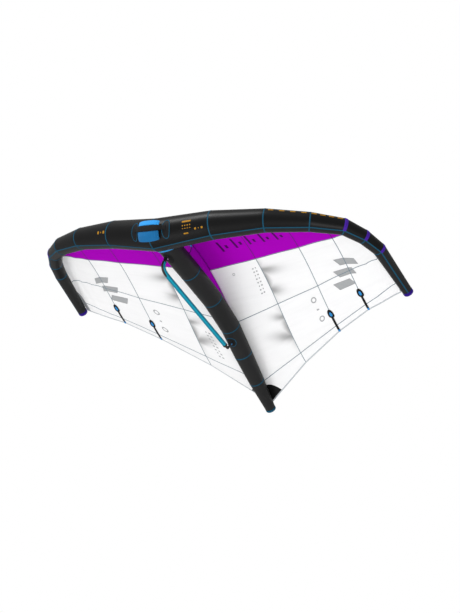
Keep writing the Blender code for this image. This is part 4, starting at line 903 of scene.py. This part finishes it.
def canopy_patch(name, stations, shares, finish):
    """A cloth patch laid over both faces of the canopy, on a grid of stations and chord shares."""
    points = skin(stations, shares, PATCH_TOP)
    uv = np.stack([path_length(points, axis=1), path_length(points)], -1)
    piece(name, points, finish, uv=uv, wall=PATCH_WALL, facing=(0, 0, 1), crease=40)


PATCH_TOP, PATCH_WALL = 0.0024, 0.003
GREY_PATCH = sail_cloth("grey_patch", "white_cloth", (0.3, 0.31, 0.33), 0.0008, 0.6, 0.00008, 0.1)
a, b = np.meshgrid(np.linspace(0, 1, 14), np.linspace(0, 1, 8), indexing="ij")
for side, word in SIDES:
    out = 0.001 + 0.325 * a
    canopy_patch(f"tail_gusset_{word}", side * out, 1 - 0.085 * (1 - 0.98 * a**2) * (1 - b), SLEEVE_CLOTH)
    out = 6.5 + 0.34 * a
    canopy_patch(f"tip_patch_{word}", side * out, 0.02 + 0.96 * b, GREY_PATCH)

# Marks on the canopy
# Plain stripes, dashes and dots printed in grey and dark purple, in a layout of no maker's.
INK_LIFT, INK_WALL = 0.0005, 0.0003
GREY_INK = printed("grey_ink", "white_cloth", (0.4, 0.41, 0.42))
PURPLE_INK = printed("dark_purple_ink", "purple_cloth", (0.08, 0.001, 0.11), shine=0.05)


def canopy_print(name, station, share, wide, high, slant, finish):
    """A printed bar under the cloth: wide in stations, high in chord shares, leaning by slant stations."""
    a, b = np.meshgrid(np.linspace(-0.5, 0.5, 16), np.linspace(-0.5, 0.5, 6), indexing="ij")
    out = station + np.sign(station) * (a * wide + b * slant)
    piece(name, skin(out, share + b * high, INK_LIFT), finish, wall=INK_WALL, facing=(0, 0, 1))


def canopy_loop(name, station, share, radius):
    """A printed ring under the cloth, between two circles of stations and chord shares."""
    angle = round_angles(32)
    size = radius * np.linspace(0.62, 1, 3)[:, None]
    out = station + size * np.cos(angle) / RUNS[int(abs(station))]
    points = skin(out, share + size * np.sin(angle) / chord(station), INK_LIFT)
    piece(name, points, GREY_INK, around=True, wall=INK_WALL, facing=(0, 0, 1))


for side, word in SIDES:
    for row in range(3):
        canopy_print(f"grey_stripe_{word}_{row + 1}", side * (3.16 - 0.22 * row), 0.53 + 0.09 * row,
                     0.78 - 0.14 * row, 0.058, 0.12, GREY_INK)
    first, front = (0.9, 0.415) if side > 0 else (0.74, 0.735)
    for row in range(8):
        for column in range(2):
            station = side * (first - 0.008 * row - 0.06 * column)
            wide = 0.034 - 0.012 * ((row + column) % 3 == 0)
            canopy_print(f"small_dash_{word}_{row + 1}_{column + 1}", station, front + 0.019 * row, wide,
                         0.007, 0.0, GREY_INK)
    out, front = (1.784, 0.718) if side > 0 else (1.735, 0.73)
    canopy_loop(f"panel_loop_{word}_1", side * out, front, 0.024)
    canopy_print(f"panel_dash_{word}", side * out, front + 0.066, 0.05, 0.01, 0.02, GREY_INK)
    canopy_loop(f"panel_loop_{word}_2", side * out, front + 0.13, 0.024)
canopy_loop("small_loop", 0.41, 0.405, 0.012)
for row in range(5):
    canopy_print(f"purple_bar_{row + 1}", 0.48 + 0.3 * row, 0.25, 0.045, 0.06, 0.03, PURPLE_INK)
    canopy_print(f"purple_square_{row + 1}", 0.6 + 0.3 * row, 0.258, 0.05, 0.02, 0.01, PURPLE_INK)

# Upright web
# A dark purple cloth sewn between the strut's top and the canopy's middle seam; it holds the arch at its height.
# Its free front edge is bound, with a blue pull tab at the top.
WEB = sail_cloth("purple_web", "purple_cloth", (0.38, 0.0008, 0.47), 0.0005, 0.65, 0.00005, 0.06, 0.006,
                 shine=0.02)


def web():
    """The cloth between the strut's top and the canopy, curved in at its free front edge.

    It gives back the web's line along the canopy and its own points, for the tapes round it.
    """
    line = arch(0.0, np.linspace(0.0, 0.62, 400))
    tall = line[:, 2] - strut_top(line[:, 1])
    kept = line[(line[:, 1] > 0.33) & (tall > 0.004)][::3]
    t = np.linspace(0, 1, 13)[None]
    foot = strut_top(kept[:, 1])[:, None]
    points = np.zeros((len(kept), 13, 3))
    points[..., 1] = kept[:, 1:2] + 0.02 * np.sin(np.pi * t) * np.exp(-(kept[:, 1:2] - kept[0, 1]) / 0.05)
    height = kept[:, 2:] - foot
    points[..., 2] = foot + 0.0006 + (height - 0.0006) * t
    points[..., 0] = 0.0008 * np.sin(40 * points[..., 1]) * np.sin(np.pi * t) + 0.0005
    uv = np.stack([points[..., 2] - foot, kept[:, 1:2] + 0 * t], -1)
    made = piece("web_cloth", points, WEB, ["canopy_web"], uv=uv, wall=0.001, facing=(1, 0, 0))
    return kept, points


def path_tube(name, path, half_wide, half_high, finish, side=(1.0, 0, 0), sides=12, **more):
    """A closed tube along a path, oval if its two half sizes differ; side gives the way its width lies."""
    tangent = unit(np.gradient(path, axis=0))
    high = unit(np.cross(side, tangent))
    wide = np.cross(tangent, high)
    angle = round_angles(sides)[:, None]
    wide_by, high_by = (np.broadcast_to(half, len(path))[:, None, None] for half in (half_wide, half_high))
    points = path[:, None] + wide_by * np.cos(angle) * wide[:, None] + high_by * np.sin(angle) * high[:, None]
    uv = spread(np.linspace(0, 1, sides + 1), path_length(path))
    piece(name, points, finish, around=True, capped=True, uv=uv, **more)


kept, web_points = web()
VIOLET_TAPE = stitched("violet_binding", "purple_cloth", (0.07, 0.004, 0.12), (0.15, 0.02, 0.22))
path_tube("web_front_binding", web_points[0], 0.0022, 0.005, VIOLET_TAPE)
foot = np.column_stack([kept[:, :2], strut_top(kept[:, 1]) + 0.0012])
path_tube("web_foot_tape", foot, 0.009, 0.0014, BLACK_TAPE)
tab = web_points[0, -1] + np.array([(0, -0.02, -0.014), (0, -0.004, -0.013), (0, 0.014, -0.011)])
path_tube("web_pull_tab", tab, 0.0035, (0.004, 0.011, 0.004), BRIGHT_TAPE)

# Battens
# Four short flat rods stiffen the trailing edge. Each slides into a black pocket under a seam and is shut in by
# a teardrop patch with a blue insert; a blue tip shows at the hem.


def moulded(name, slot, colour, roughness, grain=900.0, depth=0.00005, metallic=0.0, coat=0.0, shine=0.25):
    """Moulded or cast stuff: fine grain in the surface and slight blotches in colour and gloss."""
    made, tree, shader = new_finish(name, slot, Metallic=metallic, Coat_Weight=coat, Specular_IOR_Level=shine)
    place = linked(tree, "TexCoord").outputs["Object"]
    broad = noise(tree, place, 30.0, 3.0)
    gloss = sums(tree, "ADD", sums(tree, "MULTIPLY", broad, 0.12), roughness - 0.06)
    tree.links.new(gloss, shader.inputs["Roughness"])
    link_surface(tree, shader, shades(tree, broad, colour, 0.94, 1.06), noise(tree, place, grain), 0.5, depth)
    return made


RUBBER = moulded("black_rubber", "black_rubber", (0.008, 0.008, 0.0085), 0.62, shine=0.15)
PLASTIC = moulded("black_plastic", "black_plastic", (0.02, 0.02, 0.022), 0.42)
INSERT = moulded("blue_insert", "blue_foam", (0.02, 0.25, 0.62), 0.45)


def drop(name, station, middle, half_long, half_wide, lift, thick, finish, nodes=()):
    """An egg-shaped lozenge under the cloth: a narrow front, broadest behind its middle."""
    way = 0.5 - 0.5 * np.cos(np.pi * np.linspace(0.02, 0.98, 40))
    wide = np.sqrt(1 - np.abs(2 * way - 1) ** 2.6) * (0.7 + 0.3 * way) * half_wide
    share = middle + (2 * way - 1) * half_long / chord(station)
    loop = round_angles(16)
    at = skin(station, share)
    normal = arch_normal(station, share)
    sideways = unit(np.cross(normal, unit(np.gradient(at, axis=0))))
    offset = wide[:, None] * np.cos(loop)
    raised = lift + thick / 2 * np.sin(loop) * np.minimum(wide / half_wide * 3, 1)[:, None]
    points = at[:, None] + offset[..., None] * sideways[:, None] + raised[..., None] * normal[:, None]
    piece(name, points, finish, nodes, around=True, capped=True)


for side, word in SIDES:
    for k, start, place in ((2, 0.856, "inner"), (3, 0.827, "outer")):
        long = chord(k)
        share = np.linspace(start + 0.035 / long, 1 - 0.005 / long, 60)
        pocket = canopy_line(f"batten_pocket_{place}_{word}", side * k, share, 0.0085, SLEEVE_CLOTH, low=-0.002,
                             high=-0.0004)
        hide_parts(f"batten_{place}_{word}")
        drop(f"batten_drop_{place}_{word}", side * k, start, 0.0385, 0.0265, -0.0016, 0.003, RUBBER,
             [f"batten_patch_{place}_{word}"])
        drop(f"batten_insert_{place}_{word}", side * k, start + 0.003, 0.019, 0.0115, -0.0032, 0.0014, INSERT)
        share = np.linspace(1 - 0.022 / long, 1 - 0.001 / long, 8)
        canopy_line(f"batten_tip_{place}_{word}", side * k, share, 0.0075, INSERT, low=-0.0026, high=0.003)

# Front handle
# A webbing strap with a foam pad under it, for the front hand. Its ends are sewn down on oval patches bound in
# # blue. The pad is two swelling foam panels of one blue cloth, each side of the strap, the upper painted lighter
# # and the lower darker: painted light and painted shade.
HANDLE_TURN = (208 - 110) / 360
HANDLE_HALF, HANDLE_LIFT, HANDLE_END_LIFT = 0.098, 0.034, 0.009
EASED = 0.075
STRAP_HALF, STRAP_THICK = 0.015, 0.0025
PAD_UNDER = 0.0113
ANCHOR_OUT, ANCHOR_DROP, ANCHOR_HALF_WIDE, ANCHOR_HALF_HIGH = 0.122, 0.012, 0.028, 0.07


def handle_lift(x):
    """Height of the strap's underside over the sleeve: a level middle and ends that come down by a cubic."""
    return HANDLE_END_LIFT + (HANDLE_LIFT - HANDLE_END_LIFT) * (1 - np.minimum(np.abs(x) / HANDLE_HALF, 1) ** 3)


def on_sleeve(x, arc, lift):
    """A point round the sleeve's front: arc is the way round it from the handle's line, in metres.

    Near the middle the sleeve's sharp fold is eased into a parabola that meets it at EASED.
    """
    station = np.interp(np.abs(x), CENTRES[:, 0], range(LAST + 1)) * np.where(np.asarray(x) < 0, -1, 1)
    points = sleeve(station, HANDLE_TURN + arc / (2 * np.pi * ROOT_RADIUS), lift)
    eased = EASED / 2 * np.clip(1 - np.abs(x) / EASED, 0, 1) ** 2 + 0 * points[..., 0]
    return points + eased[..., None] * CENTRES[1] / CENTRES[1, 0] * (0, 1, 1)


def strap(name, x, low, nodes=(), body="wing"):
    """A flat strap round the sleeve's front, along x, with rounded edges."""
    section = np.array(
        [(-1, 0.3), (-1, 0.7), (-0.93, 1), (-0.5, 1), (0, 1), (0.5, 1), (0.93, 1), (1, 0.7), (1, 0.3), (0.93, 0),
         (0, 0), (-0.93, 0)]
    )
    points = on_sleeve(x[:, None], section[:, 0] * STRAP_HALF, low[:, None] + section[:, 1] * STRAP_THICK)
    uv = spread((np.append(section[:, 0], section[0, 0]) + 1) * STRAP_HALF, path_length(points[:, 4]))
    return piece(name, points, STRAP, nodes, around=True, capped=True, uv=uv, body=body)


def signed_power(wave, power):
    """A wave squared off, or drawn out, by a power, with its sign kept."""
    return np.sign(wave) * np.abs(wave) ** power


def foam(name, half_long, arc0, arc1, thick, finish, crown):
    """A foam panel behind the strap: a flattened oval across, drawn in at both ends, crowned in the middle."""
    way = np.linspace(-1, 1, 41)
    x = way * half_long
    loop = round_angles(40)
    wide, high = signed_power(np.cos(loop), 0.35), signed_power(np.sin(loop), 0.5)
    end = np.maximum((1 - np.abs(way) ** 10) ** 0.35, 0.02)[:, None]
    arc = (arc0 + arc1) / 2 + wide * (arc1 - arc0) / 2 * (0.9 + 0.1 * end)
    ribs = 0.0006 * np.cos(2 * np.pi * x / 0.016)[:, None] * np.maximum(high, 0) * (1 - wide**4)
    swell = crown * np.maximum(high, 0) * (1 - way[:, None] ** 2) * (1 - wide**2)
    lift = handle_lift(x)[:, None] - PAD_UNDER + thick / 2 + high * thick / 2 * end + swell + ribs
    made = piece(name, on_sleeve(x[:, None], arc, lift), finish, ["handle_pad"], around=True, capped=True,
                 uv=spread(np.linspace(0, 0.2, 41), x), body="front_handle")


def anchor_oval(side, wide, high, lift):
    """A ring of the patch under a strap's end: an oval with the patch's half sizes times wide and high."""
    loop = round_angles(96)
    x = side * (ANCHOR_OUT + ANCHOR_HALF_WIDE * wide * np.cos(loop))
    return on_sleeve(x, ANCHOR_DROP + ANCHOR_HALF_HIGH * high * signed_power(np.sin(loop), 0.8), lift)


def handle():
    # The upper panel's cloth is painted lit and the lower one's painted shaded, from one blue cloth.
    foam("pad_panel_upper", 0.08, -0.048, -0.0165, 0.0108, PAINTED_LIT_FOAM, 0.002)
    foam("pad_panel_lower", 0.08, 0.0165, 0.074, 0.0108, PAINTED_SHADE_FOAM, 0.002)
    foam("pad_back", 0.079, -0.02, 0.02, 0.008, DARK_FOAM, 0.0)
    x = np.linspace(-HANDLE_HALF, HANDLE_HALF, 81)
    strap("handle_strap", x, handle_lift(x) - 0.0002, ["handle_webbing"], "front_handle")
    for side, word in SIDES:
        share = np.linspace(1, 0, 24)
        sewn = strap(f"strap_end_{word}", side * (0.121 - 0.0226 * share), 0.0022 + share * 0.0066, body=None)
        outer, inner = on_sleeve(side * np.array((0.118, 0.0995)), 0, 0.006) - GRIP
        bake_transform(sewn, "wing", "front_handle", start=tuple(outer), end=tuple(inner))
        sizes = (0.02, 0.3, 0.6, 0.86, 0.95, 1, 1)
        lifts = (0.0026, 0.0026, 0.0026, 0.0026, 0.0024, 0.0016, -0.0004)
        grid = np.array([anchor_oval(side, size, size, lift) for size, lift in zip(sizes, lifts)])
        piece(f"anchor_patch_{word}", grid, RUBBER, [f"handle_anchor_{word}"], around=True, capped=True,
              uv=spread(np.linspace(0, 0.3, 97), 0.03 * np.arange(7)),
              facing=grid[0].mean(0) - sleeve(side * 0.3, HANDLE_TURN, -0.1))
        rings = [anchor_oval(side, 0.91 + 0.09 * c, 0.955 + 0.038 * c, 0.0028 + 0.0016 * s)
                 for c, s in zip(np.cos(round_angles(8)), np.sin(round_angles(8)))]
        piece(f"anchor_binding_{word}", np.stack(rings, 1), BLUE_TAPE, around=True, ring=True)


# One blue foam cloth in two copies: the upper pad's painted lighter as painted light, the lower pad's darker as
# painted shade.
PAINTED_LIT_FOAM = sail_cloth("blue_foam_cloth_painted_light", "blue_foam", (0.03, 0.31, 0.76), 0.0012, 0.7, 0.0001, 0.06,
                        sheen=0.1, shine=0.1)
PAINTED_SHADE_FOAM = sail_cloth("blue_foam_cloth_painted_shade", "blue_foam", (0.011, 0.14, 0.35), 0.0012, 0.7, 0.0001, 0.06,
                       sheen=0.05, shine=0.08)
DARK_FOAM = moulded("dark_foam_back", "black_rubber", (0.012, 0.012, 0.013), 0.8)
STRAP = sail_cloth("black_webbing", "webbing", (0.01, 0.01, 0.0105), 0.0018, 0.75, 0.0003, 0.2, shine=0.15)
handle()

# Boom
# A bent alloy tube in teal with paler lines along it, which are painted highlights. At the front a moulded elbow
# # pins it to a socket on the strut, and a black guard covers the outside of the bend; at the rear a moulded hook
# # goes up into a bracket.
PIVOT = np.array((0.0, -0.5223, 0.0242)) + GRIP
BOOM_BEND = np.array((0.0, 0.29, -0.137))
BOOM_REAR = np.array((0.0, 1.098, -0.038))
NECK = PIVOT + (0, 0, -0.028)
BOOM_WAY = unit(BOOM_REAR - BOOM_BEND)


def bezier(start, first, second, end, count):
    """Points of a cubic curve from start to end, leaving and arriving towards its two handles."""
    t = np.linspace(0, 1, count)[:, None]
    return (1 - t) ** 3 * start + 3 * (1 - t) ** 2 * t * first + 3 * (1 - t) * t**2 * second + t**3 * end


BEND = bezier(NECK, NECK + (0, 0, -0.055), BOOM_BEND - 0.055 * BOOM_WAY, BOOM_BEND, 40)
GUARD_END = 30
BOOM_PATH = np.vstack([BEND, BOOM_BEND + (BOOM_REAR - BOOM_BEND) * np.linspace(0, 1, 60)[1:, None]])


def boom_finish():
    """Teal coating with painted highlights as paler lines along the tube, and grip dimples, on a UV map round and
    along it.
    """
    made, tree, shader = new_finish("teal_boom", "teal_boom", Roughness=0.34, Specular_IOR_Level=0.12)
    place = linked(tree, "UVMap").outputs[0]
    around = linked(tree, "SeparateXYZ", Vector=place).outputs[0]
    # Painted highlights: paler lines round the tube at fixed turns.
    line = sums(tree, "MAXIMUM", *(stripe(tree, around, middle, 0.04) for middle in PAINTED_HIGHLIGHT_LINES))
    plain = shades(tree, noise(tree, place, 45.0), (0.003, 0.2, 0.3), 0.9, 1.08)
    scaled = linked(tree, "Mapping", Vector=place, Scale=(0.1, 1.0, 1.0))
    dots = linked(tree, "TexVoronoi", Vector=scaled.outputs[0], Scale=420.0)
    link_surface(tree, shader, mixed(tree, line, plain, (0.008, 0.34, 0.48)), dots.outputs[0], 0.35, 0.0002)
    return made


def boom_radius(count):
    """Radii of the tube at the first points of its path: it widens round the bend."""
    return np.interp(np.arange(count), (0, 33), (0.0125, 0.016))


# Where the painted highlight lines run round the boom, in turns.
PAINTED_HIGHLIGHT_LINES = (0.63, 0.87)
TEAL = boom_finish()


def boom():
    radius = boom_radius(len(BOOM_PATH))
    path_tube("boom_grip", BOOM_PATH, radius, radius, TEAL, sides=48, nodes=["boom_tube"], body="boom")
    path_tube("boom_rear_ferrule", BOOM_REAR + BOOM_WAY * np.linspace(-0.012, 0.006, 6)[:, None], 0.0168, 0.0168,
              PLASTIC, sides=48, body="boom")
    # Elbow: a flat eye round the pin that swells into the neck under the ears
    path = PIVOT + np.linspace(0.012, -0.0283, 22)[:, None] * (0, 0, 1)
    fall = np.linspace(0, 1, 22)
    wide = np.interp(fall, (0, 0.1, 0.62, 0.9, 1), (0.006, 0.0082, 0.0082, 0.0158, 0.0162))
    deep = np.interp(fall, (0, 0.15, 0.3, 0.6, 0.9, 1), (0.003, 0.0095, 0.0108, 0.0095, 0.0155, 0.0162))
    path_tube("boom_eye", path, wide, deep, PLASTIC, sides=32, nodes=["boom_front_elbow"], body="boom")
    # Guard: half a tube round the outside of the bend
    angle = np.radians(np.linspace(146, 214, 15))
    along = BEND[:GUARD_END]
    tangent = unit(np.gradient(along, axis=0))
    up = unit(np.cross((1.0, 0, 0), tangent))
    spoke = np.cos(angle)[None, :, None] * up[:, None] + np.sin(angle)[None, :, None] * np.array((1.0, 0, 0))
    shell = boom_radius(GUARD_END)
    taper = np.interp(np.linspace(0, 1, GUARD_END), (0, 0.75, 1), (0.0038, 0.003, 0.0004))
    inner = along[:, None] + (shell + 0.0003)[:, None, None] * spoke
    outer = along[:, None] + (shell + taper)[:, None, None] * spoke
    loop = np.concatenate([outer, inner[:, ::-1]], axis=1)
    piece("boom_bend_guard", loop, PLASTIC, around=True, capped=True, body="boom", crease=40)
    # Hook: from the tube's end it turns up and flattens into a tongue between the bracket's ears
    tip_at = np.array((0.0, 0.4545, 0.1052)) + GRIP
    rise = np.array((0.0, 0.155, 0.988))
    start = BOOM_REAR + BOOM_WAY * 0.0105
    bent = bezier(start, start + BOOM_WAY * 0.045, tip_at - rise * 0.045, tip_at, 26)
    bent = np.vstack([BOOM_REAR + BOOM_WAY * 0.0005, bent])
    wide = np.interp(np.arange(27), (0, 1, 6, 13), (0.0155, 0.0105, 0.0095, 0.005))
    deep = np.interp(np.arange(27), (0, 1, 26), (0.0155, 0.0105, 0.0103))
    path_tube("boom_hook", bent, wide, deep, PLASTIC, sides=32, nodes=["boom_rear_hook"], body="boom")


boom()

# Boom fittings on the strut
# Two moulded rubber patches are glued under the strut, with the front socket and the rear bracket screwed to
# them, each with two ears. A steel pin goes through the front ears; a blue spring button locks the rear hook.
STEEL = moulded("steel", "steel", (0.55, 0.55, 0.57), 0.3, grain=300.0, depth=0.00002, metallic=1.0,
                shine=0.5)
BLUE_BUTTON = moulded("blue_button", "seam_blue_plastic", (0.03, 0.16, 0.36), 0.4)


def softened(node, finish, edge):
    """A copy of a rigid solid, with its loose faces merged and its edges rounded by a bevel."""
    body = body_of(frame["nodes"][node])[0]
    work = bmesh.new()
    work.from_mesh(frame["nodes"][node].data)
    bmesh.ops.remove_doubles(work, verts=work.verts, dist=1e-6)
    bmesh.ops.dissolve_limit(work, angle_limit=math.radians(1), verts=work.verts, edges=work.edges)
    mesh = bpy.data.meshes.new(f"{node}_finished")
    work.to_mesh(mesh)
    work.free()
    mesh.materials.append(finish)
    mesh.shade_smooth()
    mesh.set_sharp_from_angle(angle=SHARP)
    made = placed(f"{node}_finished", mesh)
    bevel = made.modifiers.new("edge", "BEVEL")
    bevel.width = edge
    bevel.segments = 2
    bevel.limit_method = "ANGLE"
    bevel.angle_limit = SHARP
    bevel.harden_normals = True
    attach(made, body)
    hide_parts(node)


def strut_patch(name, y, half_long, half_wide, finish, thick, nodes=()):
    """A round-ended patch on the strut's underside, thick in the middle and thin at its rim."""
    loop = round_angles(72)
    around = 2 * np.pi * np.interp(y, STRUT_CENTRES[:, 1], STRUT_RADII)
    rings = []
    for size, share in ((0.02, 1), (0.4, 1), (0.75, 0.95), (0.92, 0.75), (1.0, 0.35), (1.0, -0.4)):
        station = np.interp(y + half_long * size * np.cos(loop), STRUT_CENTRES[:, 1], range(STRUT_LAST + 1))
        rings.append(strut(station, 0.5 + half_wide * size * np.sin(loop) / around, thick * share))
    piece(name, np.array(rings), finish, nodes, around=True, capped=True, facing=(0, -0.1, -1))


SHARP = math.radians(38)
strut_patch("front_patch", 0.18, 0.055, 0.035, RUBBER, 0.0022, ["boom_front_pad"])
strut_patch("rear_patch_ring", 1.157, 0.0425, 0.0405, BLUE_TAPE, 0.0016)
strut_patch("rear_patch", 1.157, 0.039, 0.037, RUBBER, 0.0024, ["boom_rear_pad"])
softened("boom_socket", PLASTIC, 0.0008)
softened("boom_bracket", PLASTIC, 0.0008)
softened("boom_pin", STEEL, 0.0004)
softened("boom_latch", BLUE_BUTTON, 0.0005)

# Inflation valve and hose
# The valve sits behind the leading edge: a flanged body welded through the bladder, a turning lock and a cap.
# A short ribbed hose carries the air on into the strut, so one pump fills both tubes.
CAP_BLUE = moulded("valve_cap_blue", "blue_plastic", (0.025, 0.24, 0.6), 0.4)
softened("valve_body", PLASTIC, 0.0004)
softened("valve_lock", PLASTIC, 0.0004)
softened("valve_cap", CAP_BLUE, 0.0004)


def hose():
    """The hose leaves the sleeve and enters the strut squarely, and its ribs are even waves of its radius."""
    leave = sleeve(-0.3465, (360 - 109.3 + 42) / 360)
    enter = strut(np.interp(0.25, STRUT_CENTRES[:, 1], range(STRUT_LAST + 1)), 0.75 + 22.5 / 360)
    rise, fall = np.radians((42, 22.5))
    out = 0.06 * np.array((0.0, np.cos(rise), np.sin(rise)))
    off = 0.06 * np.array((-np.cos(fall), 0.0, np.sin(fall)))
    line = bezier(leave, leave + out, enter + off, enter, 120)
    radius = 0.0066 + 0.0005 * np.sin(2 * np.pi * 34 * np.linspace(0, 1, 120))
    path_tube("hose_tube", line, radius, radius, RUBBER, side=(0, 0, 1.0), sides=24, nodes=["inflation_hose"])
    for name, at in (("hose_collar_front", line[:14]), ("hose_collar_strut", line[-14:])):
        path_tube(name, at, 0.0092, 0.0092, PLASTIC, side=(0, 0, 1.0), sides=24)


FILM = moulded("clear_film", "clear_film", (0.62, 0.66, 0.68), 0.3, grain=200.0, coat=0.3)
hose()
for node in ("leading_edge_bladder", "strut_bladder"):
    mesh = frame["nodes"][node].data
    mesh.materials.clear()
    mesh.materials.append(FILM)

# Studio
# A white backdrop, a pale floor well below the hanging wing, and broad soft lamps.
FLOOR_Z, FLOOR_HALF = -6.6, 30


def studio():
    world = bpy.data.worlds.new("studio")
    bpy.context.scene.world = world
    world.use_nodes = True
    tree = world.node_tree
    tree.nodes.clear()
    rays = linked(tree, "LightPath").outputs
    seen = sums(tree, "MAXIMUM", rays["Is Camera Ray"], rays["Is Transmission Ray"])
    white = linked(tree, "Background", Color=(1, 1, 1, 1), Strength=1.0)
    light = linked(tree, "Background", Color=(1, 1, 1, 1), Strength=AMBIENT)
    mix = linked(tree, "MixShader", Fac=seen, _1=light.outputs[0], _2=white.outputs[0])
    linked(tree, "OutputWorld", Surface=mix.outputs[0])
    for name, place, size, power in LAMPS:
        data = bpy.data.lights.new(name, "AREA")
        data.size = size
        data.energy = power
        lamp = placed(name, data)
        lamp.location = place
        lamp.rotation_euler = (-lamp.location).to_track_quat("-Z", "Y").to_euler()
    floor = bpy.data.meshes.new("floor")
    x, y = np.meshgrid(*[np.linspace(-FLOOR_HALF, FLOOR_HALF, 5)] * 2)
    points = np.stack([x, y, np.full_like(x, FLOOR_Z)], -1).reshape(-1, 3)
    floor.from_pydata(points.tolist(), [], squares(np.arange(25).reshape(5, 5)).tolist())
    made = bpy.data.materials.new("pale_floor")
    made.use_nodes = True
    shader = made.node_tree.nodes["Principled BSDF"]
    shader.inputs["Base Color"].default_value = (0.93, 0.93, 0.93, 1)
    shader.inputs["Roughness"].default_value = 0.9
    floor.materials.append(made)
    placed("floor", floor)


AMBIENT = 0.52
LAMPS = (
    ("key_lamp", (-2.1, -6.8, 4.1), 1.8, 480),
    ("under_lamp", (5.6, -2.2, -6.2), 3.0, 352),
    ("low_lamp", (-2.6, -1.6, -6.0), 4.0, 175),
)
studio()
bpy.context.scene.view_settings.view_transform = "Standard"
